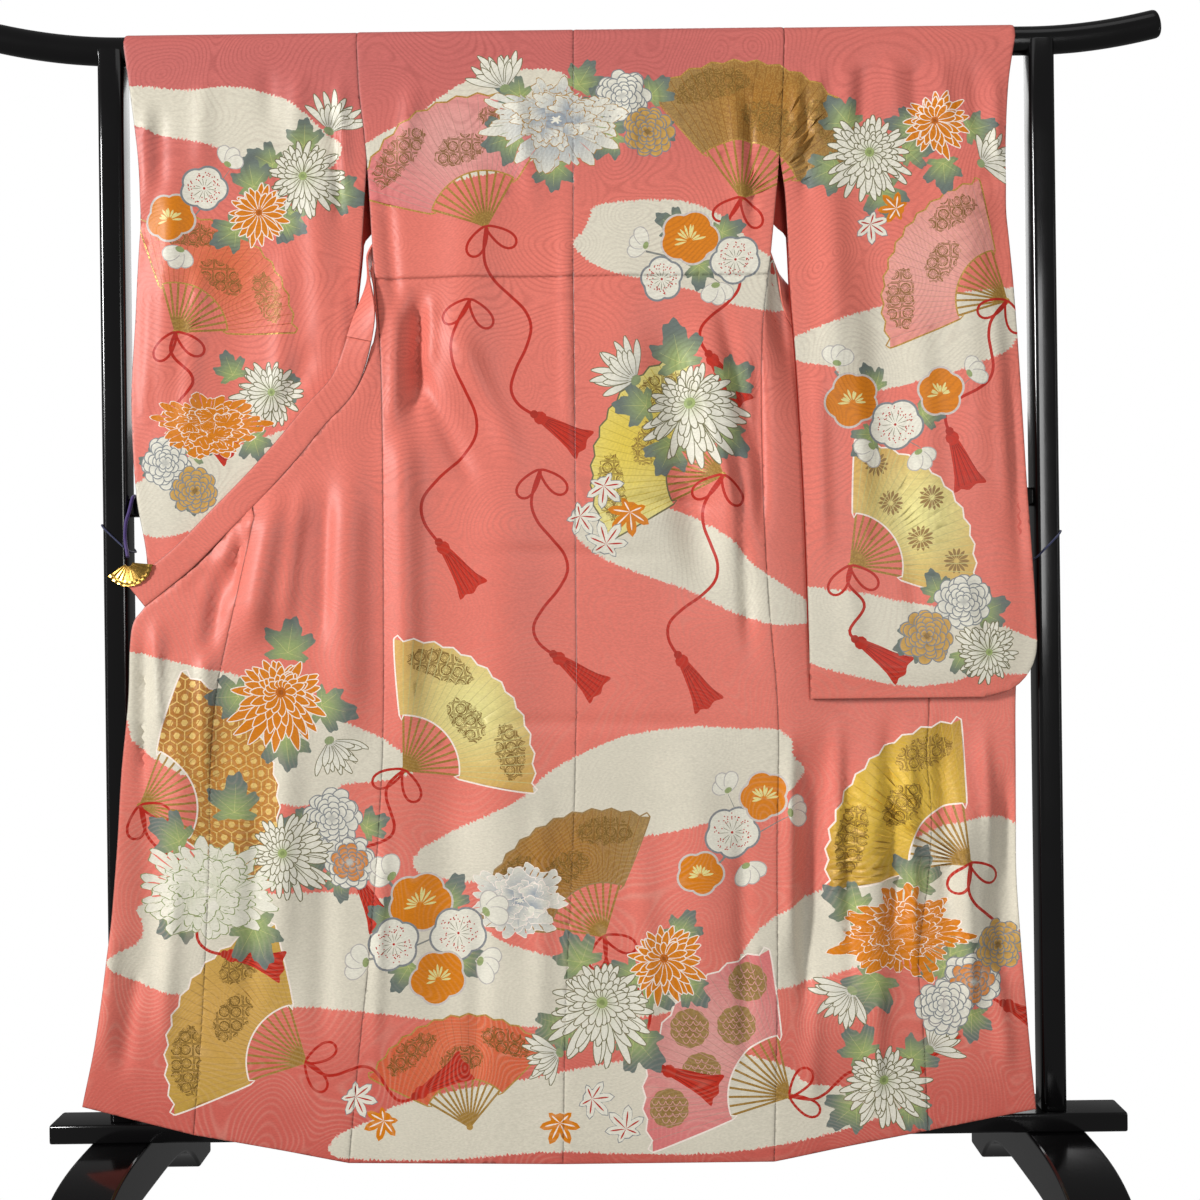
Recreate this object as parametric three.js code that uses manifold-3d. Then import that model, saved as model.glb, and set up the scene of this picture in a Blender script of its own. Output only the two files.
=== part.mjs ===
// A furisode, the long-sleeved formal silk kimono, hung back outwards on a black lacquered wooden
// kimono stand. Millimetres, +Z up, the stand's feet on z = 0. Whoever sees the back of the garment
// stands at -Y with +X to the right, so "left" is the wearer's left and -X. The bar of the stand runs
// through both sleeves. Back panels hang on the -Y side of the bar and the front panels on the +Y
// side. The two fronts pass out at the sides below the armholes and are spread open, the left one
// over its sleeve and held by a fan clip, the right one behind its sleeve and held by a cord.
import * as THREE from "three";
import { mergeVertices } from "three/addons/utils/BufferGeometryUtils.js";
import Module from "manifold-3d";

const wasm = await Module();
wasm.setup();

// ---- Driving sizes -------------------------------------------------------------------------------
const WALL = 2; // outer silk and lining together
const SEAM_GAP = 0.3; // between pieces that are sewn together
const CLOTH_ON_BAR = 0.5; // clearance of the cloth's inner face over the bar

const BAR = { half: 873, straight: 676, rise: 24, centreZ: 1769, halfDepth: 17, halfHeight: 21 };
const POST = { x: 695, width: 38, depth: 40, corner: 9, topZ: 1767 };
const RAIL = { bottomZ: 1070, height: 28, depth: 24, corner: 5 };
const SILL = { half: 800, bottomZ: 139, height: 28.5, depth: 57, corner: 4 };
const FOOT = { x: 695, width: 88, reach: 285, domeReach: 300, archReach: 222, archTop: 68, corner: 6 };
const JOINT_GAP = 0.2; // between wooden pieces that meet

const SHOULDER_Z = 1603; // foot of the armhole, where the sleeve comes free of the body
const NECK = { left: -90, right: 82, mitreDrop: 29, mitreRun: 30 };
const COLLAR_WALL = 4; // the collar is folded in two, so it has twice the cloth
const CUFF_FOOT_Z = 1555; // below this height the two layers of a sleeve are sewn together
const SLEEVE_CORNER = 80; // radius of the round lower corner

// ---- Seams and edges of the garment: height z, place across x, depth y ---------------------------
const CENTRE_SEAM = [
  { z: 1769, x: -3, y: -18.5 },
  { z: 1602, x: -5, y: -25 },
  { z: 1425, x: -7, y: -32 },
  { z: 1233, x: -7, y: -36 },
  { z: 937, x: -9, y: -38 },
  { z: 790, x: -10, y: -39 },
  { z: 568, x: -18, y: -40 },
  { z: 347, x: -31, y: -42 },
  { z: 108, x: -38, y: -43 },
];
const LEFT_SIDE = [
  { z: 1769, x: -326, y: -18.5 },
  { z: 1700, x: -323, y: -19 },
  { z: 1603, x: -313, y: -20 },
  { z: 1458, x: -304, y: -29 },
  { z: 1325, x: -294, y: -35 },
  { z: 1162, x: -291, y: -38 },
  { z: 941, x: -292, y: -40 },
  { z: 705, x: -297, y: -40 },
  { z: 424, x: -319, y: -41 },
  { z: 277, x: -336, y: -41 },
  { z: 113, x: -353, y: -42 },
];
const RIGHT_SIDE = [
  { z: 1769, x: 311, y: -18.5 },
  { z: 1700, x: 308, y: -19 },
  { z: 1603, x: 302, y: -20.5 },
  { z: 1458, x: 287, y: -29 },
  { z: 1325, x: 271, y: -34 },
  { z: 1082, x: 270, y: -36 },
  { z: 941, x: 275, y: -37 },
  { z: 764, x: 287, y: -38 },
  { z: 565, x: 283, y: -39 },
  { z: 368, x: 281, y: -40 },
  { z: 107, x: 273, y: -41 },
];

// Sleeves: inner edge, outer edge, the depth of the middle between the layers, and half the hollow.
const LEFT_SLEEVE = [
  { z: 1769, inner: -326, outer: -673, middle: 0, hollow: 17.35 },
  { z: 1700, inner: -323, outer: -664, middle: -3, hollow: 15 },
  { z: 1603, inner: -313, outer: -653, middle: -6, hollow: 13 },
  { z: 1540, inner: -317, outer: -652, middle: -6, hollow: 10 },
  { z: 1458, inner: -323, outer: -658, middle: -7, hollow: 8 },
  { z: 1370, inner: -332, outer: -663, middle: -8, hollow: 7 },
  { z: 1240, inner: -336, outer: -669, middle: -13, hollow: 5 },
  { z: 1100, inner: -338, outer: -661, middle: -20, hollow: 4 },
  { z: 1006, inner: -339, outer: -646, middle: -22, hollow: 4 },
  { z: 805, inner: -340, outer: -640, middle: -23, hollow: 3 },
];
const RIGHT_SLEEVE = [
  { z: 1769, inner: 311, outer: 655, middle: 0, hollow: 17.35 },
  { z: 1700, inner: 308, outer: 644, middle: -3, hollow: 15 },
  { z: 1603, inner: 302, outer: 638, middle: -6.5, hollow: 13 },
  { z: 1540, inner: 308, outer: 637, middle: -13, hollow: 11 },
  { z: 1458, inner: 311, outer: 641, middle: -23, hollow: 8 },
  { z: 1400, inner: 312, outer: 644, middle: -29, hollow: 6 },
  { z: 1276, inner: 320, outer: 651, middle: -31.5, hollow: 6 },
  { z: 1100, inner: 328, outer: 659, middle: -34.5, hollow: 6 },
  { z: 934, inner: 332, outer: 668, middle: -37, hollow: 6 },
  { z: 787, inner: 334, outer: 671, middle: -39, hollow: 5 },
];

// Collar ribbon below the neck: middle line x, y, z, its visible width, and turn, the angle by which
// its width leaves the plane of the cloth. It goes through half a turn where it passes the armhole.
const LEFT_COLLAR = [
  { x: -75, y: 21.6, z: 1754, width: 42, turn: 0 },
  { x: -103, y: 20.6, z: 1701, width: 46, turn: 0 },
  { x: -156, y: 16, z: 1622, width: 46, turn: 0 },
  { x: -220, y: 7, z: 1545, width: 44, turn: -12 },
  { x: -277, y: -3, z: 1486, width: 38, turn: -48 },
  { x: -307, y: -10, z: 1456, width: 33, turn: -74 },
  { x: -312, y: -22, z: 1422, width: 32, turn: -98 },
  { x: -318, y: -36, z: 1352, width: 38, turn: -158 },
  { x: -345, y: -38, z: 1266, width: 40.5, turn: -178 },
  { x: -391, y: -38.4, z: 1213, width: 40, turn: -181 },
  { x: -434, y: -39.2, z: 1162, width: 40.5, turn: -179 },
  { x: -480, y: -40.3, z: 1112, width: 40, turn: -182 },
  { x: -532, y: -41, z: 1060, width: 40.5, turn: -179 },
  { x: -583, y: -42.2, z: 1009, width: 40, turn: -181 },
  { x: -622, y: -42.8, z: 977, width: 40.5, turn: -179 },
  { x: -655, y: -43.1, z: 951, width: 40, turn: -180 },
];
const RIGHT_COLLAR = [
  { x: 67, y: 21.6, z: 1754, width: 42, turn: 0 },
  { x: 96, y: 20.6, z: 1701, width: 46, turn: 0 },
  { x: 148, y: 16, z: 1622, width: 46, turn: 0 },
  { x: 209, y: 9, z: 1545, width: 44, turn: 12 },
  { x: 262, y: 2, z: 1483, width: 38, turn: 50 },
  { x: 297, y: -6, z: 1426, width: 30, turn: 100 },
  { x: 327, y: -11, z: 1363, width: 38, turn: 165 },
  { x: 373, y: -14, z: 1300, width: 40.5, turn: 180 },
  { x: 436, y: -17.2, z: 1222, width: 40.5, turn: 178 },
  { x: 499, y: -18.8, z: 1144, width: 40, turn: 181 },
  { x: 562, y: -19.4, z: 1066, width: 40.5, turn: 179 },
  { x: 618, y: -20.6, z: 996, width: 39.5, turn: 182 },
  { x: 650, y: -20.1, z: 964, width: 38, turn: 180 },
];

// Spread fronts: each row joins a height on the side seam, sideZ, to a point on the overlap's seam.
const LEFT_FRONT = [
  { sideZ: 1325, x: -299, y: -37, z: 1321 },
  { sideZ: 1257, x: -330, y: -39, z: 1243 },
  { sideZ: 1190, x: -405, y: -40, z: 1161 },
  { sideZ: 1125, x: -463, y: -41, z: 1097 },
  { sideZ: 1060, x: -481, y: -45, z: 1050 },
  { sideZ: 941, x: -507, y: -48, z: 944 },
  { sideZ: 810, x: -535, y: -46, z: 824 },
  { sideZ: 690, x: -547, y: -44, z: 710 },
  { sideZ: 550, x: -552, y: -43, z: 579 },
  { sideZ: 400, x: -560, y: -42, z: 432 },
  { sideZ: 262, x: -569, y: -40, z: 301 },
  { sideZ: 113, x: -582, y: -39, z: 156 },
];
const RIGHT_FRONT = [
  { sideZ: 1390, x: 290, y: -16, z: 1384 },
  { sideZ: 1325, x: 349, y: -15, z: 1292 },
  { sideZ: 1257, x: 407, y: -18, z: 1221 },
  { sideZ: 1190, x: 455, y: -19, z: 1162 },
  { sideZ: 1125, x: 468, y: -20, z: 1100 },
  { sideZ: 941, x: 492, y: -22, z: 930 },
  { sideZ: 790, x: 512, y: -27, z: 790 },
  { sideZ: 690, x: 507, y: -31, z: 700 },
  { sideZ: 600, x: 512, y: -34, z: 615 },
  { sideZ: 500, x: 506, y: -35, z: 520 },
  { sideZ: 380, x: 490, y: -36, z: 410 },
  { sideZ: 250, x: 496, y: -37, z: 285 },
  { sideZ: 107, x: 501, y: -38, z: 149 },
];
// Overlap panels: each row carries the front panel's row of the same sideZ on to the free front edge.
const LEFT_OVERLAP = [
  { sideZ: 1125, x: -471, y: -41.5, z: 1089 },
  { sideZ: 1100, x: -515, y: -42, z: 1045 },
  { sideZ: 1080, x: -567, y: -42.5, z: 993 },
  { sideZ: 1060, x: -609, y: -43.5, z: 956 },
  { sideZ: 1045, x: -637, y: -44.5, z: 934 },
  { sideZ: 1010, x: -656, y: -45, z: 919 },
  { sideZ: 941, x: -664, y: -46, z: 886 },
  { sideZ: 810, x: -669, y: -44, z: 796 },
  { sideZ: 690, x: -681, y: -42, z: 690 },
  { sideZ: 550, x: -690, y: -41, z: 570 },
  { sideZ: 400, x: -704, y: -40, z: 430 },
  { sideZ: 262, x: -723, y: -38, z: 308 },
  { sideZ: 113, x: -747, y: -36, z: 198 },
];
const RIGHT_OVERLAP = [
  { sideZ: 1190, x: 464, y: -19, z: 1153 },
  { sideZ: 1167, x: 528, y: -20, z: 1073 },
  { sideZ: 1145, x: 587, y: -20, z: 1000 },
  { sideZ: 1125, x: 618, y: -20.5, z: 962 },
  { sideZ: 1060, x: 640, y: -21, z: 938 },
  { sideZ: 941, x: 648, y: -22, z: 890 },
  { sideZ: 790, x: 641, y: -27, z: 785 },
  { sideZ: 690, x: 639, y: -30, z: 690 },
  { sideZ: 600, x: 638, y: -32, z: 608 },
  { sideZ: 500, x: 638, y: -33, z: 522 },
  { sideZ: 380, x: 643, y: -34, z: 418 },
  { sideZ: 250, x: 651, y: -35, z: 300 },
  { sideZ: 107, x: 661, y: -36, z: 178 },
];

// Largest folds: a soft ridge (rise > 0, towards the viewer) or trough along a line in the x-z plane.
const BODY_FOLDS = [
  { x0: -226, z0: 1415, x1: -262, z1: 1130, half: 26, rise: -6 },
  { x0: -262, z0: 1380, x1: -258, z1: 640, half: 24, rise: 6 },
  { x0: -150, z0: 1640, x1: -175, z1: 1180, half: 42, rise: 4 },
  { x0: 62, z0: 1560, x1: 76, z1: 900, half: 40, rise: 4 },
  { x0: 118, z0: 1390, x1: 196, z1: 900, half: 34, rise: -7 },
  { x0: 182, z0: 1390, x1: 236, z1: 930, half: 34, rise: 6 },
  { x0: 150, z0: 760, x1: 190, z1: 330, half: 46, rise: 4 },
  { x0: -110, z0: 1250, x1: -120, z1: 420, half: 50, rise: 4 },
  { x0: -200, z0: 760, x1: -210, z1: 250, half: 42, rise: -4 },
  { x0: -335, z0: 1190, x1: -350, z1: 700, half: 30, rise: 6 },
  { x0: -440, z0: 1120, x1: -492, z1: 860, half: 26, rise: 8 },
  { x0: -505, z0: 1060, x1: -600, z1: 970, half: 20, rise: -5 },
  { x0: -595, z0: 880, x1: -590, z1: 560, half: 32, rise: 5 },
  { x0: -640, z0: 700, x1: -650, z1: 330, half: 26, rise: -4 },
  { x0: 350, z0: 760, x1: 330, z1: 300, half: 30, rise: -6 },
  { x0: 425, z0: 740, x1: 415, z1: 250, half: 32, rise: 6 },
  { x0: 560, z0: 730, x1: 575, z1: 280, half: 32, rise: 6 },
  { x0: 606, z0: 640, x1: 616, z1: 330, half: 20, rise: -4 },
];
const SLEEVE_FOLDS = [
  { x0: -395, z0: 1620, x1: -372, z1: 1250, half: 24, rise: 4 },
  { x0: -600, z0: 1650, x1: -628, z1: 1200, half: 26, rise: 4 },
  { x0: -500, z0: 1560, x1: -520, z1: 1100, half: 40, rise: -3 },
  { x0: 372, z0: 1640, x1: 380, z1: 1150, half: 24, rise: 5 },
  { x0: 440, z0: 1560, x1: 462, z1: 900, half: 34, rise: -4 },
  { x0: 560, z0: 1660, x1: 590, z1: 1000, half: 36, rise: 4 },
];

// Heights of the rows of the back panels; the fronts' seam heights are on the same side curve.
const ROWS_Z = [
  1769, 1735, 1700, 1652, SHOULDER_Z, 1555, 1508, 1458, 1390, 1325, 1257, 1190, 1125, 1060, 1000, 941,
  875, 810, 750, 690, 620, 550, 475, 400, 330, 262, 185,
];
const BAR_SIDES = 24;
const WRAP_ANGLES = [90, 75, 60, 45, 30, 15]; // rows round the upper quarter of the bar, on its own corners
const SETTLED = 0.2; // share of a spread front's width in which it changes depth beside the side seam
const COLUMNS = { back: 9, sleeve: 7, front: 7, overlap: 5, shoulder: 6, collar: 2, neck: 8 };

// ---- Small tools ---------------------------------------------------------------------------------
const vec = (x, y, z) => new THREE.Vector3(x, y, z);
const radians = THREE.MathUtils.degToRad;
const lerp = THREE.MathUtils.lerp;
const smooth = THREE.MathUtils.smoothstep;

// Value of a named column between the rows of a table, on a cubic through them.
function column(table, name, position, by) {
  const last = table.length - 1;
  const key = (i) => (by ? table[i][by] : i);
  const falling = key(0) > key(last);
  let i = 0;
  while (i < last - 1 && (falling ? key(i + 1) > position : key(i + 1) < position)) i += 1;
  const slope = (k) => {
    const a = Math.max(k - 1, 0);
    const b = Math.min(k + 1, last);
    return (table[b][name] - table[a][name]) / (key(b) - key(a));
  };
  const span = key(i + 1) - key(i);
  const t = THREE.MathUtils.clamp((position - key(i)) / span, 0, 1);
  const [h0, h1] = [(1 + 2 * t) * (1 - t) ** 2, t * (1 - t) ** 2];
  const [h2, h3] = [t * t * (3 - 2 * t), t * t * (t - 1)];
  return h0 * table[i][name] + h1 * span * slope(i) + h2 * table[i + 1][name] + h3 * span * slope(i + 1);
}

// Value between two neighbouring stations of a list, so that sewn pieces share their corners.
function between(stations, position, valueAt) {
  const after = stations.findIndex((s) => (s - position) * Math.sign(stations[0] - stations[1]) <= 0);
  const i = Math.max(1, after < 0 ? stations.length - 1 : after);
  const share = (position - stations[i - 1]) / (stations[i] - stations[i - 1]);
  return valueAt(stations[i - 1]).lerp(valueAt(stations[i]), share);
}

// Point of a seam of the back at a height.
function onSeam(table, z) {
  const stations = [...ROWS_Z, table.at(-1).z];
  return between(stations, z, (at) => vec(column(table, "x", at, "z"), column(table, "y", at, "z"), at));
}

// How far a list of folds lifts the cloth at x, z.
function lift(folds, x, z) {
  let sum = 0;
  for (const f of folds) {
    const [dx, dz] = [f.x1 - f.x0, f.z1 - f.z0];
    const s = ((x - f.x0) * dx + (z - f.z0) * dz) / (dx * dx + dz * dz);
    const c = THREE.MathUtils.clamp(s, 0, 1);
    const away = Math.hypot(x - f.x0 - c * dx, z - f.z0 - c * dz);
    const ends = smooth(c, 0, 0.3) * (1 - smooth(c, 0.7, 1));
    sum += f.rise * Math.exp(-((away / f.half) ** 2)) * ends;
  }
  return sum;
}

function solidFrom(positions, indices) {
  const geometry = new THREE.BufferGeometry();
  geometry.setAttribute("position", new THREE.Float32BufferAttribute(positions.flatMap((p) => p.toArray()), 3));
  geometry.setIndex(indices);
  let volume = 0;
  for (let i = 0; i < indices.length; i += 3) {
    const [a, b, c] = [0, 1, 2].map((k) => positions[indices[i + k]]);
    volume += a.dot(b.clone().cross(c)) / 6;
  }
  if (volume < 0) {
    for (let i = 0; i < indices.length; i += 3) [indices[i], indices[i + 1]] = [indices[i + 1], indices[i]];
    geometry.setIndex(indices);
  }
  geometry.computeVertexNormals();
  return geometry;
}

// Closed body through rings of points: each ring has the same count, and both ends are capped.
function loft(rings) {
  const count = rings[0].length;
  const points = rings.flat();
  const faces = [];
  for (let r = 0; r + 1 < rings.length; r += 1) {
    for (let i = 0; i < count; i += 1) {
      const [a, b] = [r * count + i, r * count + ((i + 1) % count)];
      faces.push(a, b, a + count, b, b + count, a + count);
    }
  }
  const end = (rings.length - 1) * count;
  for (let i = 1; i + 1 < count; i += 1) {
    faces.push(0, i + 1, i);
    faces.push(end, end + i, end + i + 1);
  }
  return solidFrom(points, faces);
}

// Cloth of even thickness about a grid of middle points; out[row] is the way its face looks.
function slab(grid, out, wall) {
  const rings = grid.map((row, r) => {
    const half = out[r].clone().multiplyScalar(wall / 2);
    const face = row.map((p) => p.clone().add(half));
    const back = row.map((p) => p.clone().sub(half)).reverse();
    return [...face, ...back];
  });
  const geometry = loft(rings);
  return capBands(geometry, rings);
}

// Replaces a slab's fan caps by bands, so that a curved end stays on its own rim.
function capBands(geometry, rings) {
  const count = rings[0].length;
  const half = count / 2;
  const sides = Array.from(geometry.getIndex().array).slice(0, (rings.length - 1) * count * 6);
  const flipped = sides[0] !== 0;
  const end = (rings.length - 1) * count;
  const faces = [...sides];
  for (let i = 0; i + 1 < half; i += 1) {
    const [a, b, c, d] = [i, i + 1, count - 2 - i, count - 1 - i];
    const first = [a, c, b, a, d, c];
    const last = [a, b, c, a, c, d].map((k) => k + end);
    for (const cap of [first, last]) {
      for (let k = 0; k < cap.length; k += 3) {
        faces.push(...(flipped ? [cap[k + 1], cap[k], cap[k + 2]] : cap.slice(k, k + 3)));
      }
    }
  }
  return solidFrom(rings.flat(), faces);
}

// Rows of a panel, each from point a to point b, cut back by half a seam's gap at both ends.
function panel(rows, columns, folds, wall = WALL) {
  const grid = rows.map(({ a, b, out, bulge = () => 0 }) => {
    const across = b.clone().sub(a);
    const inset = across.clone().setLength(SEAM_GAP / 2);
    const [from, to] = [a.clone().add(inset), b.clone().sub(inset)];
    return Array.from({ length: columns + 1 }, (_, i) => {
      const u = i / columns;
      const p = from.clone().lerp(to, u);
      const push = bulge(u) + (folds ? lift(folds, p.x, p.z) : 0);
      return p.addScaledVector(out, push);
    });
  });
  return slab(grid, rows.map((r) => r.out), wall);
}

const FACING_VIEWER = vec(0, -1, 0);
const FACING_AWAY = vec(0, 1, 0);

// The cloth's middle over the bar: side is -1 towards the viewer and 1 away, angle 90 is the top.
function wrap(side, angle) {
  const offset = CLOTH_ON_BAR + WALL / 2;
  const [depth, height] = [BAR.halfDepth + offset, BAR.halfHeight + offset];
  const [c, s] = [Math.cos(radians(angle)), Math.sin(radians(angle))];
  return { y: side * depth * c, z: BAR.centreZ + height * s, out: vec(0, (side * c) / depth, s / height).normalize() };
}

// Rows over the upper quarter of the bar between two places across it.
function wrapRows(side, fromX, toX) {
  return WRAP_ANGLES.map((angle) => {
    const at = wrap(side, angle);
    const y = angle === 90 ? (side * SEAM_GAP) / 2 : at.y;
    return { a: vec(fromX, y, at.z), b: vec(toX, y, at.z), out: at.out };
  });
}

// ---- Garment pieces ------------------------------------------------------------------------------
function backPanel(side) {
  const top = wrapRows(-1, CENTRE_SEAM[0].x, side[0].x);
  const rows = ROWS_Z.map((z) => ({ a: onSeam(CENTRE_SEAM, z), b: onSeam(side, z), out: FACING_VIEWER }));
  const hem = { a: onSeam(CENTRE_SEAM, CENTRE_SEAM.at(-1).z), b: onSeam(side, side.at(-1).z), out: FACING_VIEWER };
  return panel([...top, ...rows, hem], COLUMNS.back, BODY_FOLDS);
}

// Heights on the side seam at which a spread front has its rows.
const frontStations = (front) => [...ROWS_Z.filter((z) => z <= front[0].sideZ), front.at(-1).sideZ];

// Point of a spread front's outer edge on the row that starts at a height on the side seam.
function frontEdge(front, sideZ) {
  const at = (z) => vec(...["x", "y", "z"].map((name) => column(front, name, z, "sideZ")));
  return between(frontStations(front), sideZ, at);
}

// A spread front leaves the side seam at its depth and soon reaches the depth of its outer edge.
function frontPanel(front, side) {
  const rows = frontStations(front).map((z) => {
    const [a, b] = [onSeam(side, z), frontEdge(front, z)];
    const bulge = (u) => (a.y - b.y) * (1 - u - (1 - smooth(u, 0, SETTLED)));
    return { a, b, out: FACING_VIEWER, bulge };
  });
  return panel(rows, COLUMNS.front, BODY_FOLDS);
}

function overlapPanel(overlap, front) {
  const edge = (z) => vec(...["x", "y", "z"].map((name) => column(overlap, name, z, "sideZ")));
  const own = overlap.map((o) => o.sideZ).filter((z) => z > 1000);
  const halfway = own.slice(1).map((z, i) => (z + own[i]) / 2);
  const heights = [...new Set([...own, ...halfway, ...frontStations(front)])];
  const rows = heights.filter((z) => z <= overlap[0].sideZ).sort((p, q) => q - p);
  return panel(rows.map((z) => ({ a: frontEdge(front, z), b: edge(z), out: FACING_VIEWER })), COLUMNS.overlap, BODY_FOLDS);
}

// Front of the body above the armhole, behind the bar, narrowing to where the collar crosses out.
function shoulderPanel(side, neckX, collar) {
  const out = FACING_AWAY;
  const sleeve = side === LEFT_SIDE ? LEFT_SLEEVE : RIGHT_SLEEVE;
  const top = wrapRows(1, side[0].x, neckX);
  const heights = ROWS_Z.filter((z) => z > 1480);
  const rows = heights.map((z) => {
    const armhole = onSeam(side, z);
    armhole.y = layerDepth(sleeve, z, 1);
    const half = column(collar, "width", z, "z") / 2 + SEAM_GAP;
    const away = Math.sign(neckX) * 0.81 * half;
    const beside = z - 0.57 * half;
    const seam = vec(column(collar, "x", beside, "z") + away, 0, z);
    seam.y = Math.min(column(collar, "y", beside, "z"), armhole.y + 2);
    if (z === BAR.centreZ) seam.set(neckX, wrap(1, 0).y, z);
    return { a: armhole, b: seam, out };
  });
  return panel([...top, ...rows], COLUMNS.shoulder, null);
}

// Depth of one layer of a sleeve: layer -1 is the one towards the viewer, 1 the one behind the bar.
function layerDepth(sleeve, z, layer) {
  const half = column(sleeve, "hollow", z, "z") + (WALL + SEAM_GAP) / 2;
  return column(sleeve, "middle", z, "z") + layer * half;
}

// One layer of a sleeve. Below the cuff its outer edge and its foot close against the other layer.
function sleeveLayer(sleeve, layer, side) {
  const foot = sleeve.at(-1).z;
  const corner = [0.62, 0.3, 0.1, 0].map((share) => foot + share * SLEEVE_CORNER);
  const heights = [...ROWS_Z.filter((z) => z > foot + SLEEVE_CORNER), ...corner];
  const out = layer < 0 ? FACING_VIEWER : FACING_AWAY;
  const away = Math.sign(sleeve[0].outer);
  const rows = heights.map((z) => {
    const rounded = Math.max(0, SLEEVE_CORNER - (z - foot));
    const cut = SLEEVE_CORNER - Math.sqrt(SLEEVE_CORNER ** 2 - rounded ** 2);
    const hollow = column(sleeve, "hollow", z, "z");
    const inner = z < SHOULDER_Z ? column(sleeve, "inner", z, "z") : onSeam(side, z).x;
    const a = vec(inner, layerDepth(sleeve, z, layer), z);
    const b = vec(column(sleeve, "outer", z, "z") - away * cut, a.y, z);
    const sewnOutside = 1 - smooth(z, CUFF_FOOT_Z - 60, CUFF_FOOT_Z);
    const sewnBelow = 1 - smooth(z, foot, foot + 45);
    const bulge = (u) => -hollow * Math.max(sewnBelow, sewnOutside * smooth(u, 0.82, 1));
    return { a, b, out, bulge };
  });
  const top = wrapRows(layer, sleeve[0].inner, sleeve[0].outer);
  return panel([...top, ...rows], COLUMNS.sleeve, layer < 0 ? SLEEVE_FOLDS : null);
}

// The part of the collar that crosses the back of the neck, mitred to the two ribbons.
function neckCollar() {
  const top = wrapRows(1, NECK.left, NECK.right);
  const below = [0, 0.5, 1].map((share) => {
    const z = BAR.centreZ - share * NECK.mitreDrop;
    const run = share * NECK.mitreRun;
    const y = wrap(1, 0).y + 0.8 * share;
    return { a: vec(NECK.left + run, y, z), b: vec(NECK.right - run, y, z), out: FACING_AWAY };
  });
  return panel([...top, ...below], COLUMNS.neck, null);
}

// A flat ribbon along a line, turned about it from station to station.
function ribbon(stations) {
  const sections = [];
  for (let i = 0; i + 1 < stations.length; i += 1) sections.push(i, i + 0.5);
  sections.push(stations.length - 1);
  const middle = (i) => vec(...["x", "y", "z"].map((name) => column(stations, name, i)));
  const rings = sections.map((i) => {
    const along = middle(Math.min(i + 0.25, stations.length - 1)).sub(middle(Math.max(i - 0.25, 0))).normalize();
    const toNeck = Math.sign(-stations[0].x);
    const flat = vec(-along.z, 0, along.x).multiplyScalar(-toNeck).normalize();
    const across = flat.applyAxisAngle(along, radians(column(stations, "turn", i)));
    const through = across.clone().cross(along).normalize();
    const mitre = i === 0 ? vec(toNeck * NECK.mitreRun, 0, -NECK.mitreDrop).normalize() : across;
    const half = mitre.multiplyScalar(column(stations, "width", i) / 2);
    const thick = through.multiplyScalar(COLLAR_WALL / 2);
    const at = middle(i);
    return [
      at.clone().add(half).add(thick),
      at.clone().sub(half).add(thick),
      at.clone().sub(half).sub(thick),
      at.clone().add(half).sub(thick),
    ];
  });
  return loft(rings);
}

// ---- Stand ---------------------------------------------------------------------------------------
function barRings(grow) {
  const reach = BAR.half - BAR.straight;
  const places = [1, 0.985, 0.85, 0.7, 0.5, 0.25, 0].map((share) => BAR.straight + share * reach);
  const stations = [...places.map((x) => -x), ...places.reverse()];
  return stations.map((x) => {
    const past = Math.max(0, Math.abs(x) - BAR.straight) / reach;
    const ends = Math.abs(x) === BAR.half ? 0.8 : 1;
    const tilt = Math.atan((2 * BAR.rise * past) / reach) * Math.sign(x);
    const middle = vec(x, 0, BAR.centreZ + BAR.rise * past ** 2);
    return Array.from({ length: BAR_SIDES }, (_, i) => {
      const a = (i / BAR_SIDES) * 2 * Math.PI;
      const y = (BAR.halfDepth * ends + grow) * Math.cos(a);
      const z = (BAR.halfHeight * ends + grow) * Math.sin(a);
      return middle.clone().add(vec(-z * Math.sin(tilt), y, z * Math.cos(tilt)));
    });
  });
}

// Rounded rectangle outline, counter-clockwise.
function roundedOutline(width, height, corner, steps = 3) {
  const points = [];
  for (const [sx, sy, start] of [[1, 1, 0], [-1, 1, 90], [-1, -1, 180], [1, -1, 270]]) {
    for (let i = 0; i <= steps; i += 1) {
      const a = radians(start + (90 * i) / steps);
      const [cx, cy] = [sx * (width / 2 - corner), sy * (height / 2 - corner)];
      points.push([cx + corner * Math.cos(a), cy + corner * Math.sin(a)]);
    }
  }
  return points;
}

function beam(half, bottomZ, height, depth, corner) {
  const outline = roundedOutline(depth, height, corner, 2);
  return loft([-half, half].map((x) => outline.map(([y, z]) => vec(x, y, bottomZ + height / 2 + z))));
}

function asManifold(geometry) {
  const bare = new THREE.BufferGeometry().setAttribute("position", geometry.getAttribute("position"));
  bare.setIndex(geometry.getIndex());
  const merged = mergeVertices(bare, 1e-3);
  return new wasm.Manifold(
    new wasm.Mesh({
      numProp: 3,
      vertProperties: new Float32Array(merged.getAttribute("position").array),
      triVerts: new Uint32Array(merged.getIndex().array),
    }),
  );
}

function asGeometry(solid) {
  const mesh = solid.getMesh();
  const geometry = new THREE.BufferGeometry();
  geometry.setAttribute("position", new THREE.Float32BufferAttribute(mesh.vertProperties, 3));
  geometry.setIndex(new THREE.Uint32BufferAttribute(mesh.triVerts, 1));
  geometry.computeVertexNormals();
  return geometry;
}

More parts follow.
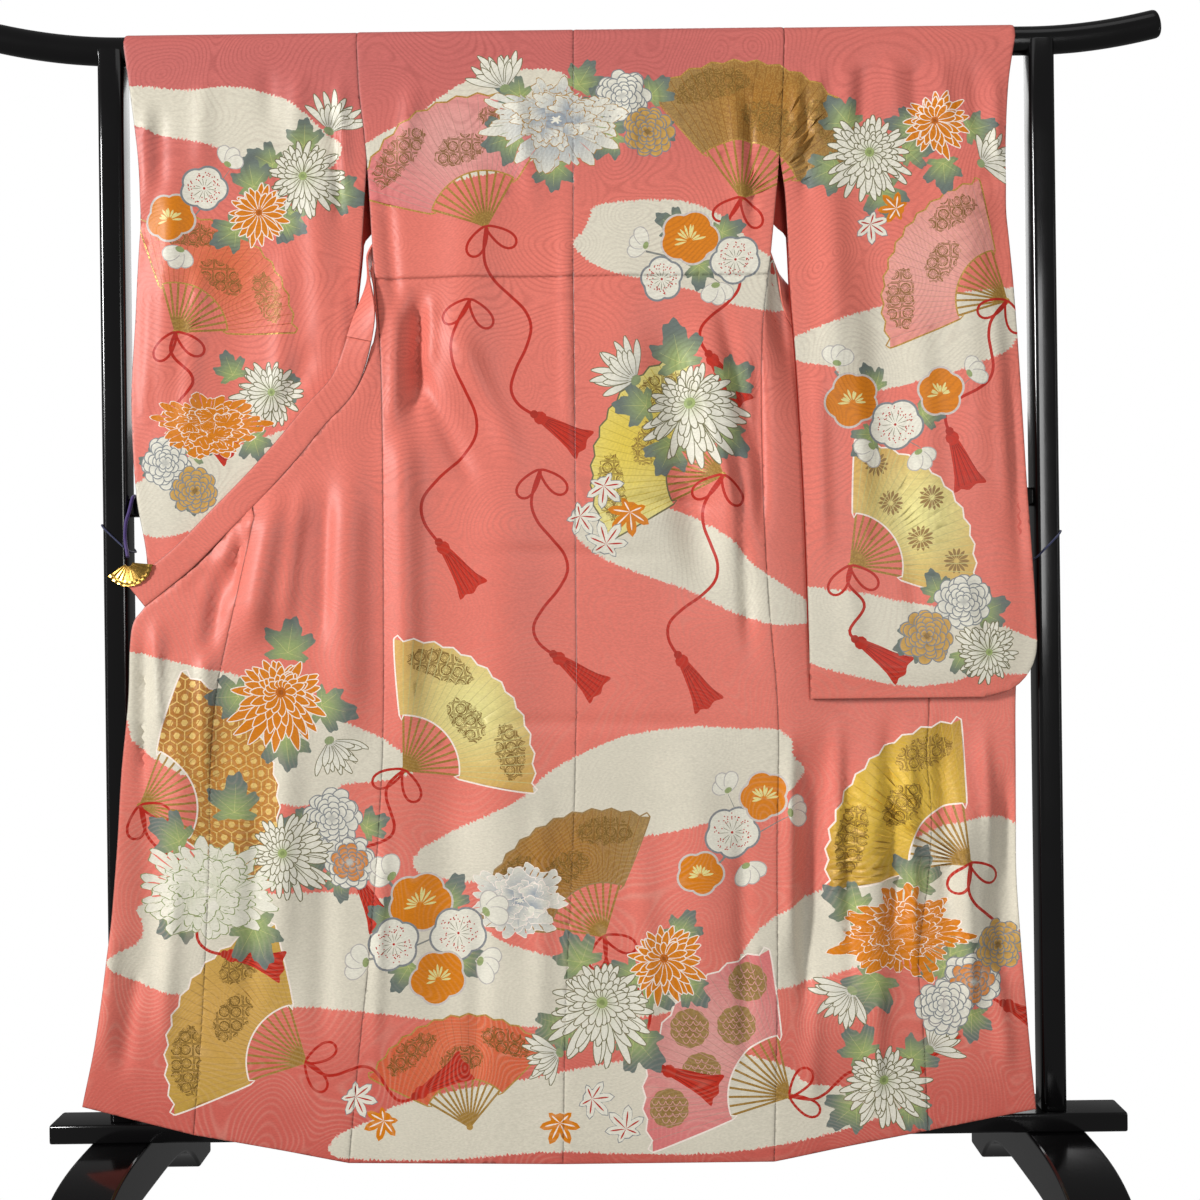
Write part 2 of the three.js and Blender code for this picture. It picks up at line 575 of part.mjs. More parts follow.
// A post, its head hollowed to take the bar.
function post(side) {
  const outline = roundedOutline(POST.width, POST.depth, POST.corner);
  const heights = [SILL.bottomZ + SILL.height + JOINT_GAP, POST.topZ];
  const shaft = loft(heights.map((z) => outline.map(([x, y]) => vec(side * POST.x + x, y, z))));
  return asGeometry(asManifold(shaft).subtract(asManifold(loft(barRings(JOINT_GAP)))));
}

// A foot: a domed board standing fore and aft, arched beneath between two pads.
function foot(side) {
  const topZ = SILL.bottomZ - JOINT_GAP;
  const dome = (y) => topZ * (1 - (Math.abs(y) / FOOT.domeReach) ** 4);
  const arch = (y) => FOOT.archTop * (1 - (Math.abs(y) / FOOT.archReach) ** 4);
  const steps = [-1, -0.94, -0.85, -0.72, -0.55, -0.3, 0, 0.3, 0.55, 0.72, 0.85, 0.94, 1];
  const above = steps.map((s) => [s * FOOT.reach, dome(s * FOOT.reach)]);
  const below = steps.map((s) => [-s * FOOT.archReach, Math.max(0, arch(s * FOOT.archReach))]);
  const profile = [[-FOOT.reach, 0], ...above, [FOOT.reach, 0], ...below];
  const shape = new THREE.Shape(profile.map(([y, z]) => new THREE.Vector2(y, z)));
  const solid = new THREE.ExtrudeGeometry(shape, { depth: FOOT.width, bevelEnabled: false });
  solid.rotateX(Math.PI / 2).rotateZ(Math.PI / 2);
  solid.translate(side * FOOT.x - FOOT.width / 2, 0, 0);
  return solid;
}

// ---- Holders of the spread fronts ----------------------------------------------------------------
const FAN = { x: -665, y: -46.4, z: 1001, inner: 6, outer: 36, from: 214, to: 354, pleats: 10, pleat: 1.6, wall: 1.6 };
const LOOP_RADIUS = 2.6;
// The clip's cord: over the rail, down the post's face, to the fan.
const LOOP = [
  { x: -669, y: 0, z: 1101 },
  { x: -669, y: -7, z: 1101 },
  { x: -669, y: -12.7, z: 1098.7 },
  { x: -670, y: -15, z: 1093 },
  { x: -673, y: -19, z: 1076 },
  { x: -676, y: -24, z: 1060 },
  { x: -677, y: -25, z: 1036 },
  { x: -668, y: -41, z: 1009 },
];
const TIE = { radius: 1.4, clearance: 0.3, sides: 8 };

// The small pleated metal fan of the clip.
function fan() {
  const steps = FAN.pleats * 2;
  const grid = Array.from({ length: steps + 1 }, (_, i) => {
    const a = radians(lerp(FAN.from, FAN.to, i / steps));
    const depth = FAN.y + (i % 2 ? -FAN.pleat : 0);
    return [FAN.inner, FAN.outer].map((r) => vec(FAN.x + r * Math.cos(a), depth, FAN.z + r * Math.sin(a)));
  });
  return slab(grid, grid.map(() => FACING_VIEWER), FAN.wall);
}

// Round cord through a list of points.
function tube(points, radius) {
  const curve = new THREE.CatmullRomCurve3(points, false, "centripetal");
  const section = new THREE.Shape(
    Array.from({ length: TIE.sides }, (_, i) => {
      const a = (i / TIE.sides) * 2 * Math.PI;
      return new THREE.Vector2(radius * Math.cos(a), radius * Math.sin(a));
    }),
  );
  return new THREE.ExtrudeGeometry(section, { steps: 24, extrudePath: curve, bevelEnabled: false });
}

// A cord tied round a post, higher on the post's outer face than on its inner one.
function tie(side, innerZ, outerZ) {
  const reach = TIE.radius + TIE.clearance;
  const outline = roundedOutline(POST.width + 2 * reach, POST.depth + 2 * reach, POST.corner + reach, 2);
  const inner = -side * (POST.width / 2 + reach);
  const points = outline.map(([x, y]) => {
    const share = (x - inner) / (-2 * inner);
    return vec(side * POST.x + x, y, lerp(innerZ, outerZ, share));
  });
  const curve = new THREE.CatmullRomCurve3(points, true, "centripetal");
  const steps = 32;
  const rings = Array.from({ length: steps }, (_, k) => {
    const at = curve.getPoint(k / steps);
    const along = curve.getTangent(k / steps);
    const up = vec(0, 0, 1);
    const outward = along.clone().cross(up).normalize();
    const over = outward.clone().cross(along).normalize();
    return Array.from({ length: TIE.sides }, (_, i) => {
      const a = (i / TIE.sides) * 2 * Math.PI;
      const [c, s] = [TIE.radius * Math.cos(a), TIE.radius * Math.sin(a)];
      return at.clone().addScaledVector(outward, c).addScaledVector(over, s);
    });
  });
  const faces = [];
  for (let r = 0; r < steps; r += 1) {
    for (let i = 0; i < TIE.sides; i += 1) {
      const next = ((r + 1) % steps) * TIE.sides;
      const [a, b] = [r * TIE.sides + i, r * TIE.sides + ((i + 1) % TIE.sides)];
      const [c, d] = [next + i, next + ((i + 1) % TIE.sides)];
      faces.push(a, b, c, b, d, c);
    }
  }
  return solidFrom(rings.flat(), faces);
}

// ---- Assembly ------------------------------------------------------------------------------------
const finish = (color, roughness, metalness = 0) => new THREE.MeshStandardMaterial({ color, roughness, metalness });
const silk = finish(0xe0686a, 0.45);
const lacquer = finish(0x0b0a0b, 0.12);
const gilt = finish(0xb8923c, 0.3, 1);
const violetCord = finish(0x2b1a5e, 0.6);
const navyCord = finish(0x1a1c48, 0.6);

const furisode = new THREE.Group();
function add(name, geometry, material) {
  const mesh = new THREE.Mesh(geometry, material);
  mesh.name = name;
  furisode.add(mesh);
}

add("back_left", backPanel(LEFT_SIDE), silk);
add("back_right", backPanel(RIGHT_SIDE), silk);
add("front_left", frontPanel(LEFT_FRONT, LEFT_SIDE), silk);
add("front_right", frontPanel(RIGHT_FRONT, RIGHT_SIDE), silk);
add("front_left_shoulder", shoulderPanel(LEFT_SIDE, NECK.left, LEFT_COLLAR), silk);
add("front_right_shoulder", shoulderPanel(RIGHT_SIDE, NECK.right, RIGHT_COLLAR), silk);
add("overlap_left", overlapPanel(LEFT_OVERLAP, LEFT_FRONT), silk);
add("overlap_right", overlapPanel(RIGHT_OVERLAP, RIGHT_FRONT), silk);
add("sleeve_left_back", sleeveLayer(LEFT_SLEEVE, -1, LEFT_SIDE), silk);
add("sleeve_left_front", sleeveLayer(LEFT_SLEEVE, 1, LEFT_SIDE), silk);
add("sleeve_right_back", sleeveLayer(RIGHT_SLEEVE, -1, RIGHT_SIDE), silk);
add("sleeve_right_front", sleeveLayer(RIGHT_SLEEVE, 1, RIGHT_SIDE), silk);
add("collar_neck", neckCollar(), silk);
add("collar_left", ribbon(LEFT_COLLAR), silk);
add("collar_right", ribbon(RIGHT_COLLAR), silk);

add("stand_bar", loft(barRings(0)), lacquer);
add("stand_rail", beam(POST.x - POST.width / 2 - JOINT_GAP, RAIL.bottomZ, RAIL.height, RAIL.depth, RAIL.corner), lacquer);
add("stand_sill", beam(SILL.half, SILL.bottomZ, SILL.height, SILL.depth, SILL.corner), lacquer);
for (const [name, side] of [["left", -1], ["right", 1]]) {
  add(`stand_post_${name}`, post(side), lacquer);
  add(`stand_foot_${name}`, foot(side), lacquer);
}

add("clip_fan", fan(), gilt);
add("clip_cord", tube(LOOP.map((p) => vec(p.x, p.y, p.z)), LOOP_RADIUS), violetCord);
add("tie_left", tie(-1, 1018, 1058), navyCord);
add("tie_right", tie(1, 990, 1032), navyCord);

export default furisode;
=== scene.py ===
import math
import random

import bpy
import numpy as np
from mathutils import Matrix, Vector, geometry, kdtree
from mathutils.bvhtree import BVHTree


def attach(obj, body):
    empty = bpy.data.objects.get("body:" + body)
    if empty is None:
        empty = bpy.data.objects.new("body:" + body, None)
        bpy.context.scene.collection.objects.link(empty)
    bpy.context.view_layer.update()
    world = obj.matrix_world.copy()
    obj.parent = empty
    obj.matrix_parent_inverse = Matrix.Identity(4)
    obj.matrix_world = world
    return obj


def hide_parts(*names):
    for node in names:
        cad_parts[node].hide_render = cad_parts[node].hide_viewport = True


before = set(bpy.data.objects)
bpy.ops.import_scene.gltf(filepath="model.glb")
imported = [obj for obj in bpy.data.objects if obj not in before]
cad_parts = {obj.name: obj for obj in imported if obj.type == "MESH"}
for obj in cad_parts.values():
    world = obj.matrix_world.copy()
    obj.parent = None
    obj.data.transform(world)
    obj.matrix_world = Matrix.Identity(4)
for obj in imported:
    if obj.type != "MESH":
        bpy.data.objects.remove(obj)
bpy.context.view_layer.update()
scene = bpy.context.scene
DRAW = random.Random(11)

# ---- Camera --------------------------------------------------------------------------------------
camera = bpy.data.objects.new("camera", bpy.data.cameras.new("camera"))
scene.collection.objects.link(camera)
camera.location = (0.0265, -2.03, 0.937)
camera.rotation_euler = (math.pi / 2, math.radians(0.7), 0)
camera.data.sensor_width = 36
camera.data.lens = 40.53
scene.camera = camera

# ---- Sizes of the garment ------------------------------------------------------------------------
WALL = 2.0
SEAM_GAP = 0.16
POST_X = 695  # each post from the middle of the stand
BAR = {"half": 873, "straight": 676, "rise": 24, "z": 1769, "deep": 17, "high": 21}
WRAP = {"deep": 18.5, "high": 22.5}  # middle of the cloth round the bar
WRAP_RUN = 20.6  # length of cloth for each radian round the bar
SHOULDER_Z = 1603
TUCK_Z = 1416  # the sewn tuck across the back

# Seams: z, x, y.
CENTRE_SEAM = [
    (1769, -3, -18.5), (1602, -5, -25), (1425, -7, -32), (1233, -7, -36), (937, -9, -38),
    (790, -10, -39), (568, -18, -40), (347, -31, -42), (108, -38, -43),
]
LEFT_SIDE = [
    (1769, -326, -18.5), (1700, -323, -19), (1603, -313, -20), (1458, -304, -29), (1325, -294, -35),
    (1162, -291, -38), (941, -292, -40), (705, -297, -40), (424, -319, -41), (277, -336, -41),
    (113, -353, -42),
]
RIGHT_SIDE = [
    (1769, 311, -18.5), (1700, 308, -19), (1603, 302, -20.5), (1458, 287, -29), (1325, 271, -34),
    (1082, 270, -36), (941, 275, -37), (764, 287, -38), (565, 283, -39), (368, 281, -40),
    (107, 273, -41),
]
# Sleeves: z, inner edge x, outer edge x, depth of the middle, half the hollow between the layers.
LEFT_SLEEVE = [
    (1769, -326, -673, 0, 17.35), (1700, -323, -664, -3, 15), (1603, -313, -653, -6, 13),
    (1540, -317, -652, -6, 10), (1458, -323, -658, -7, 8), (1370, -332, -663, -8, 7),
    (1240, -336, -669, -13, 5), (1100, -338, -661, -20, 4), (1006, -339, -646, -22, 4),
    (805, -340, -640, -23, 3),
]
RIGHT_SLEEVE = [
    (1769, 311, 655, 0, 17.35), (1700, 308, 644, -3, 15), (1603, 302, 638, -6.5, 13),
    (1540, 308, 637, -13, 11), (1458, 311, 641, -23, 8), (1400, 312, 644, -29, 6),
    (1276, 320, 651, -31.5, 6), (1100, 328, 659, -34.5, 6), (934, 332, 668, -37, 6),
    (787, 334, 671, -39, 5),
]
# Collar ribbons: station, middle x, y, z, width, turn out of the plane of the cloth.
LEFT_COLLAR = [
    (0, -75, 21.6, 1754, 42, 0), (1, -103, 20.6, 1701, 46, 0), (2, -156, 16, 1622, 46, 0),
    (3, -220, 7, 1545, 44, -12), (4, -277, -3, 1486, 38, -48), (5, -307, -10, 1456, 33, -74),
    (6, -312, -22, 1422, 32, -98), (7, -318, -36, 1352, 38, -158), (8, -345, -38, 1266, 40.5, -178),
    (9, -391, -38.4, 1213, 40, -181), (10, -434, -39.2, 1162, 40.5, -179),
    (11, -480, -40.3, 1112, 40, -182), (12, -532, -41, 1060, 40.5, -179),
    (13, -583, -42.2, 1009, 40, -181), (14, -622, -42.8, 977, 40.5, -179),
    (15, -655, -43.1, 951, 40, -180),
]
RIGHT_COLLAR = [
    (0, 67, 21.6, 1754, 42, 0), (1, 96, 20.6, 1701, 46, 0), (2, 148, 16, 1622, 46, 0),
    (3, 209, 9, 1545, 44, 12), (4, 262, 2, 1483, 38, 50), (5, 297, -6, 1426, 30, 100),
    (6, 327, -11, 1363, 38, 165), (7, 373, -14, 1300, 40.5, 180), (8, 436, -17.2, 1222, 40.5, 178),
    (9, 499, -18.8, 1144, 40, 181), (10, 562, -19.4, 1066, 40.5, 179), (11, 618, -20.6, 996, 39.5, 182),
    (12, 650, -20.1, 964, 38, 180),
]
# Outer edges of the spread fronts and overlaps: height of the row on the side seam, then x, y, z.
LEFT_FRONT = [
    (1445, -304.5, -29, 1445), (1410, -303.5, -33, 1410), (1380, -301.5, -36, 1380),
    (1360, -299.4, -36.5, 1358),
    (1325, -299, -37, 1321), (1257, -330, -39, 1243), (1190, -405, -40, 1161), (1125, -463, -41, 1097),
    (1060, -481, -45, 1050), (941, -507, -48, 944), (810, -535, -46, 824), (690, -547, -44, 710),
    (550, -552, -43, 579), (400, -560, -42, 432), (262, -569, -40, 301), (113, -582, -39, 156),
]
RIGHT_FRONT = [
    (1440, 290, -24, 1440), (1415, 297, -18, 1412), (1390, 304, -16, 1384), (1362, 313, -15, 1350),
    (1325, 349, -15, 1292), (1257, 407, -18, 1221), (1190, 455, -19, 1162),
    (1125, 468, -20, 1100), (941, 492, -22, 930), (790, 512, -27, 790), (690, 507, -31, 700),
    (600, 512, -34, 615), (500, 506, -35, 520), (380, 490, -36, 410), (250, 496, -37, 285),
    (107, 501, -38, 149),
]
LEFT_OVERLAP = [
    (1125, -471, -41.5, 1089), (1100, -515, -42, 1045), (1080, -567, -42.5, 993),
    (1060, -609, -43.5, 956), (1045, -637, -44.5, 934), (1010, -656, -45, 919), (941, -664, -46, 886),
    (810, -669, -44, 796), (690, -681, -42, 690), (550, -690, -41, 570), (400, -704, -40, 430),
    (262, -723, -38, 308), (113, -747, -36, 198),
]
RIGHT_OVERLAP = [
    (1190, 464, -19, 1153), (1167, 528, -20, 1073), (1145, 587, -20, 1000), (1125, 618, -20.5, 962),
    (1060, 640, -21, 938), (941, 648, -22, 890), (790, 641, -27, 785), (690, 639, -30, 690),
    (600, 638, -32, 608), (500, 638, -33, 522), (380, 643, -34, 418), (250, 651, -35, 300),
    (107, 661, -36, 178),
]
# Folds: a soft ridge towards the viewer, or a trough, from x0, z0 to x1, z1; half width, rise.
BODY_FOLDS = [
    (-226, 1415, -262, 1130, 26, -6), (-262, 1380, -258, 640, 24, 6), (-150, 1640, -175, 1180, 42, 4),
    (62, 1560, 76, 900, 40, 1.5), (118, 1390, 196, 900, 34, -7), (182, 1390, 236, 930, 34, 6),
    (150, 760, 190, 330, 46, 4), (-110, 1250, -120, 420, 50, 4), (-200, 760, -210, 250, 42, -4),
    (-335, 1190, -350, 700, 30, 6), (-440, 1120, -492, 860, 26, 8), (-500, 1040, -588, 950, 18, -2),
    (-595, 880, -590, 560, 32, 5), (-640, 700, -650, 330, 26, -4), (350, 760, 330, 300, 30, -6),
    (425, 740, 415, 250, 32, 6), (560, 730, 575, 280, 32, 6), (606, 640, 616, 330, 20, -4),
]
SLEEVE_FOLDS = [
    (-395, 1620, -372, 1250, 24, 4), (-600, 1650, -628, 1200, 26, 4), (-500, 1560, -520, 1100, 40, -3),
    (372, 1640, 380, 1150, 24, 5), (440, 1560, 462, 900, 34, -4), (560, 1660, 590, 1000, 36, 4),
]
# Finer creases, in the same columns.
BODY_CREASES = [
    (20, 1082, 215, 1076, 9, -1.3), (-180, 1010, 150, 1000, 10, -0.9), (-250, 760, 250, 752, 9, -0.8),
    (-262, 1330, -150, 1090, 14, -3), (-200, 1370, -80, 1120, 18, 2.4), (228, 1200, 250, 820, 10, -3.4),
    (-237, 1410, -247, 1200, 9, -4.5), (-215, 1400, -222, 1270, 8, 2.5), (-268, 1400, -276, 1180, 7, 2),
    (-20, 1560, -17, 1120, 9, 1.5), (-95, 1720, -60, 1500, 14, 1.6), (205, 1400, 262, 1120, 12, -3),
    (150, 1330, 245, 1010, 10, 2), (262, 1330, 268, 1010, 9, -3), (90, 1740, 70, 1560, 16, 1.5),
    (232, 1730, 244, 1480, 12, 2), (258, 1700, 262, 1450, 7, -2), (-285, 1560, -268, 1350, 9, -2.4),
    (-240, 1720, -262, 1560, 14, 2), (-60, 700, -70, 240, 16, 1.5), (80, 640, 96, 200, 18, 1.5),
    (230, 640, 236, 190, 12, -2.2), (-290, 640, -318, 220, 9, 1.6), (-150, 560, -170, 170, 16, -1.8),
    (-372, 1130, -384, 860, 12, -3), (-405, 1130, -440, 880, 12, 3), (-470, 1080, -545, 980, 12, 3),
    (-494, 1075, -520, 930, 9, -3), (-520, 1010, -560, 840, 12, -4), (-552, 960, -556, 640, 14, 3),
    (-625, 930, -620, 720, 10, 3.4), (-645, 900, -652, 640, 7, -3), (-600, 560, -628, 260, 14, 2.4),
    (-430, 800, -450, 350, 20, 2.4), (-480, 700, -500, 300, 16, -2.4), (-380, 600, -395, 250, 18, -2),
    (-690, 480, -715, 250, 12, 2.6), (-660, 420, -690, 230, 9, -2.2), (306, 760, 300, 380, 10, 3.4),
    (330, 640, 322, 240, 10, -3), (376, 770, 366, 420, 10, 3.6), (392, 720, 390, 330, 9, -3),
    (454, 780, 452, 400, 12, -3.6), (480, 760, 484, 360, 10, 3.2), (530, 780, 536, 420, 12, -3.2),
    (552, 640, 566, 280, 9, 2.4), (590, 760, 600, 480, 9, 2.8), (624, 700, 630, 420, 8, -2.8),
    (430, 400, 424, 180, 12, 2), (600, 420, 620, 220, 12, 2.6), (330, 380, 330, 170, 14, 2),
]
SLEEVE_CREASES = [
    (-352, 1730, -345, 1560, 9, 2.6), (-366, 1700, -352, 1480, 8, -2.4), (-410, 1740, -420, 1600, 14, 2),
    (-460, 1745, -455, 1640, 12, -1.6), (-640, 1700, -640, 1520, 7, 2.2), (-620, 1690, -618, 1540, 9, -2),
    (-552, 1730, -560, 1560, 14, 1.8), (-430, 1500, -452, 1180, 16, 2), (-560, 1480, -590, 1160, 14, 2.2),
    (-640, 1460, -650, 1180, 8, 1.8), (-350, 1440, -352, 1240, 8, 2), (-390, 1330, -470, 1180, 16, -2),
    (330, 1730, 322, 1560, 8, 3), (344, 1700, 336, 1500, 7, -2.6), (362, 1740, 356, 1600, 9, 2),
    (405, 1745, 398, 1610, 14, 2.6), (430, 1740, 425, 1630, 9, -2), (470, 1748, 474, 1640, 14, 2.2),
    (505, 1744, 505, 1640, 9, -1.8), (540, 1746, 552, 1630, 14, 2.2), (590, 1744, 600, 1600, 10, -2),
    (622, 1730, 624, 1560, 8, 2.6), (350, 1330, 356, 960, 12, 2.6), (406, 1420, 420, 1000, 18, 2),
    (500, 1420, 520, 960, 20, 2), (470, 1180, 500, 850, 16, -2), (610, 1440, 630, 1020, 12, 2.4),
    (632, 1300, 650, 930, 8, -2), (560, 980, 580, 830, 16, 1.8), (390, 1000, 400, 830, 16, 1.6),
]


# ---- Curves and rows -----------------------------------------------------------------------------
def smooth(value, low, high):
    t = np.clip((np.asarray(value, float) - low) / (high - low), 0, 1)
    return t * t * (3 - 2 * t)


def column(rows, index, at):
    """Values of one column between the rows, on a cubic through them. The first column is the key."""
    data = np.array(rows, float)
    if data[0, 0] > data[-1, 0]:
        data = data[::-1]
    key, value = data[:, 0], data[:, index]
    slope = np.empty_like(value)
    slope[1:-1] = (value[2:] - value[:-2]) / (key[2:] - key[:-2])
    slope[0] = (value[1] - value[0]) / (key[1] - key[0])
    slope[-1] = (value[-1] - value[-2]) / (key[-1] - key[-2])
    at = np.asarray(at, float)
    i = np.clip(np.searchsorted(key, at, side="right") - 1, 0, len(key) - 2)
    span = key[i + 1] - key[i]
    t = np.clip((at - key[i]) / span, 0, 1)
    start = (1 + 2 * t) * (1 - t) ** 2 * value[i] + t * (1 - t) ** 2 * span * slope[i]
    return start + t * t * (3 - 2 * t) * value[i + 1] + t * t * (t - 1) * span * slope[i + 1]


def seam(rows, z):
    """Points of a seam, given as z, x, y."""
    z = np.asarray(z, float)
    return np.column_stack((column(rows, 1, z), column(rows, 2, z), z))


def edge(rows, station):
    """Points of an outer edge, given as station, x, y, z."""
    return np.column_stack([column(rows, i, station) for i in (1, 2, 3)])


def lift(folds, x, z):
    """How far the folds raise the cloth."""
    total = np.zeros_like(x)
    for x0, z0, x1, z1, half, rise in folds:
        dx, dz = x1 - x0, z1 - z0
        along = np.clip(((x - x0) * dx + (z - z0) * dz) / (dx * dx + dz * dz), 0, 1)
        away = np.hypot(x - x0 - along * dx, z - z0 - along * dz)
        ends = smooth(along, 0, 0.3) * (1 - smooth(along, 0.7, 1))
        total += rise * np.exp(-((away / half) ** 2)) * ends
    return total


def spline(a, b, c, d, t):
    """Catmull-Rom points between b and c."""
    return 0.5 * (2 * b + (c - a) * t + (2 * a - 5 * b + 4 * c - d) * t**2 + (3 * b - a - 3 * c + d) * t**3)


def curve(points, closed=False, step=3.0):
    """A Catmull-Rom curve through the points."""
    p = np.array(points, float)
    n = len(p)
    found = []
    for i in range(n if closed else n - 1):
        b, c = p[i], p[(i + 1) % n]
        a = p[i - 1] if closed or i else b
        d = p[(i + 2) % n] if closed or i + 2 < n else c
        count = max(2, int(np.hypot(*(c - b)) / step))
        t = np.arange(count)[:, None] / count
        found.append(spline(a, b, c, d, t))
    if not closed:
        found.append(p[-1:])
    return np.vstack(found)


def joined(a, b, columns, push=None):
    """Rows of points from the edge a to the edge b, cut back by half a seam's gap."""
    across = b - a
    inset = across / np.maximum(np.linalg.norm(across, axis=1, keepdims=True), 1e-6) * SEAM_GAP / 2
    a, b = a + inset, b - inset
    u = np.linspace(0, 1, columns)[None, :, None]
    grid = a[:, None] * (1 - u) + b[:, None] * u
    if push is not None:
        grid[:, :, 1] += push(np.linspace(0, 1, columns)[None, :])
    return grid


# ---- Pattern: painted shapes in pattern units, x to the right and y down -------------------------
UNIT = 1.473  # one pattern unit
TILT = 0.0122
ORIGIN = (26.5, 937.0)  # where pattern point 600, 600 lies
DRAWING = []  # painted shapes, each over the ones before it
BOARD = {"now": "both"}  # what the shapes being painted lie on: sleeve, body or both


def lies_on(points):
    """Takes the sleeves or the body as what is painted next, from where its points lie."""
    x, y = np.mean(np.asarray(points, float).reshape(-1, 2), axis=0)
    across = 690 < x < 850 and y < 215
    on_sleeve = (x < 350 and y < 543) or (x > 786 and y < 690)
    BOARD["now"] = "both" if across else "sleeve" if on_sleeve else "body"


def colour(*rgb):
    """Linear colour of an sRGB one."""
    c = np.array(rgb, float) / 255
    return np.where(c <= 0.04045, c / 12.92, ((c + 0.055) / 1.055) ** 2.4)


CORAL = colour(222, 118, 103)
# Darker coral for painted shade high on the shoulders and at the foot.
CORAL_TOP_SHADED = colour(184, 97, 95)
CORAL_FOOT_SHADED = colour(192, 86, 76)
WHITE = colour(214, 207, 188)
PETAL = colour(224, 220, 204)
FRINGE = colour(224, 158, 146)
INK = colour(112, 108, 76)
GREY = colour(128, 132, 134)
ORANGE = colour(210, 122, 10)
ORANGE_DEEP = colour(188, 98, 6)
OCHRE = colour(160, 108, 36)
PALE = colour(222, 212, 140)
YELLOW = colour(222, 196, 74)
BUFF = colour(205, 160, 82)
PINK = colour(216, 154, 146)
ROSE = colour(214, 118, 116)
FLAME = colour(216, 106, 70)
GOLD = colour(168, 128, 56)
CORD = colour(180, 36, 22)
TASSEL = colour(186, 44, 26)
LEAF = colour(152, 168, 104)
LEAF_TIP = colour(104, 114, 108)
TWIG = colour(128, 130, 124)
BROWN = colour(134, 104, 54)
CHALK = colour(240, 226, 214)


def placed(points):
    p = np.asarray(points, float).reshape(-1, 2)
    u, v = p[:, 0] - 600, 600 - p[:, 1]
    return np.column_stack((ORIGIN[0] + UNIT * (u + v * TILT), ORIGIN[1] + UNIT * (v - u * TILT)))


def put(points, fill, rim=None, centre=None, reach=1.0, foil=0.0, lace=0.0, thread=0.0, inside=0):
    """Paints a closed shape. Its colour goes from fill at the centre to rim at the reach."""
    outline = placed(points)
    x, z = outline.T
    area = np.sum(x * np.roll(z, -1) - np.roll(x, -1) * z)
    if abs(area) < 0.4:
        return len(DRAWING)
    middle = placed([centre])[0] if centre is not None else outline.mean(0)
    DRAWING.append({
        "outline": outline if area > 0 else outline[::-1], "low": outline.min(0), "high": outline.max(0),
        "fill": fill, "rim": fill if rim is None else rim, "centre": middle, "reach": reach * UNIT,
        "finish": (foil, lace, thread), "inside": inside, "on": BOARD["now"],
    })
    return len(DRAWING)


def line(points, width, fill, closed=False, step=3.0, taper=False, **kind):
    """A painted line through the points, in short overlapping lengths."""
    path = curve(points, closed, step)
    if closed:
        path = np.vstack((path, path[:1]))
    along = np.gradient(path, axis=0)
    along /= np.maximum(np.hypot(*along.T), 1e-6)[:, None]
    half = np.full(len(path), width / 2)
    if taper:
        half *= np.linspace(1, 0.25, len(path))
    side = np.column_stack((-along[:, 1], along[:, 0])) * half[:, None]
    for i in range(0, len(path) - 1, 7):
        j = min(i + 7, len(path) - 1)
        put(np.vstack(((path + side)[i : j + 1], (path - side)[i : j + 1][::-1])), fill, **kind)


def disc(x, y, radius, fill, wide=1.0, turn=0.0, count=10, **kind):
    a = np.arange(count) * 2 * math.pi / count
    px, py = radius * wide * np.cos(a), radius * np.sin(a)
    c, s = math.cos(turn), math.sin(turn)
    return put(np.column_stack((x + px * c - py * s, y + px * s + py * c)), fill, **kind)


def jagged(points, depth, step, seed):
    """A closed curve with small uneven teeth."""
    path = curve(points, True, step)
    along = np.roll(path, -1, 0) - np.roll(path, 1, 0)
    along /= np.maximum(np.hypot(*along.T), 1e-6)[:, None]
    draw = np.random.default_rng(seed)
    tooth = draw.uniform(0, 1, len(path)) ** 1.4 * np.where(np.arange(len(path)) % 2, 1.3, -0.9)
    path = path + along * draw.uniform(-0.3, 0.3, len(path))[:, None] * step
    return path + np.column_stack((-along[:, 1], along[:, 0])) * (tooth * depth)[:, None]


def cloud(number, points, fill=WHITE, fringe=FRINGE):
    lies_on(points)
    put(jagged(points, 2.2, 2.0, 100 + number), fringe)
    put(jagged(points, 2.0, 1.8, 300 + number), fill)


def petal(x, y, angle, near, far, half, fill, ink, tone, width=0.7, bend=0.0, full=1.75, ends=0.72, **kind):
    """A slim petal, widest beyond its middle. A smaller value of ends makes it rounder."""
    s = np.array([0, 0.14, 0.3, 0.46, 0.6, 0.72, 0.83, 0.92, 0.98, 1])

    def outline(grow):
        body = half * np.sin(math.pi * (0.12 + 0.88 * s) ** full) ** ends + grow
        radius = near + (far + grow - near) * s
        angles = angle + bend * s**2
        mid = np.column_stack((x + radius * np.cos(angles), y + radius * np.sin(angles)))
        side = np.column_stack((-np.sin(angles), np.cos(angles))) * body[:, None]
        return np.vstack((mid + side, (mid - side)[-2:0:-1]))

    if width:
        put(outline(width), ink, **kind)
    put(outline(0), tone, fill, (x + near * math.cos(angle), y + near * math.sin(angle)), 0.7 * far, **kind)


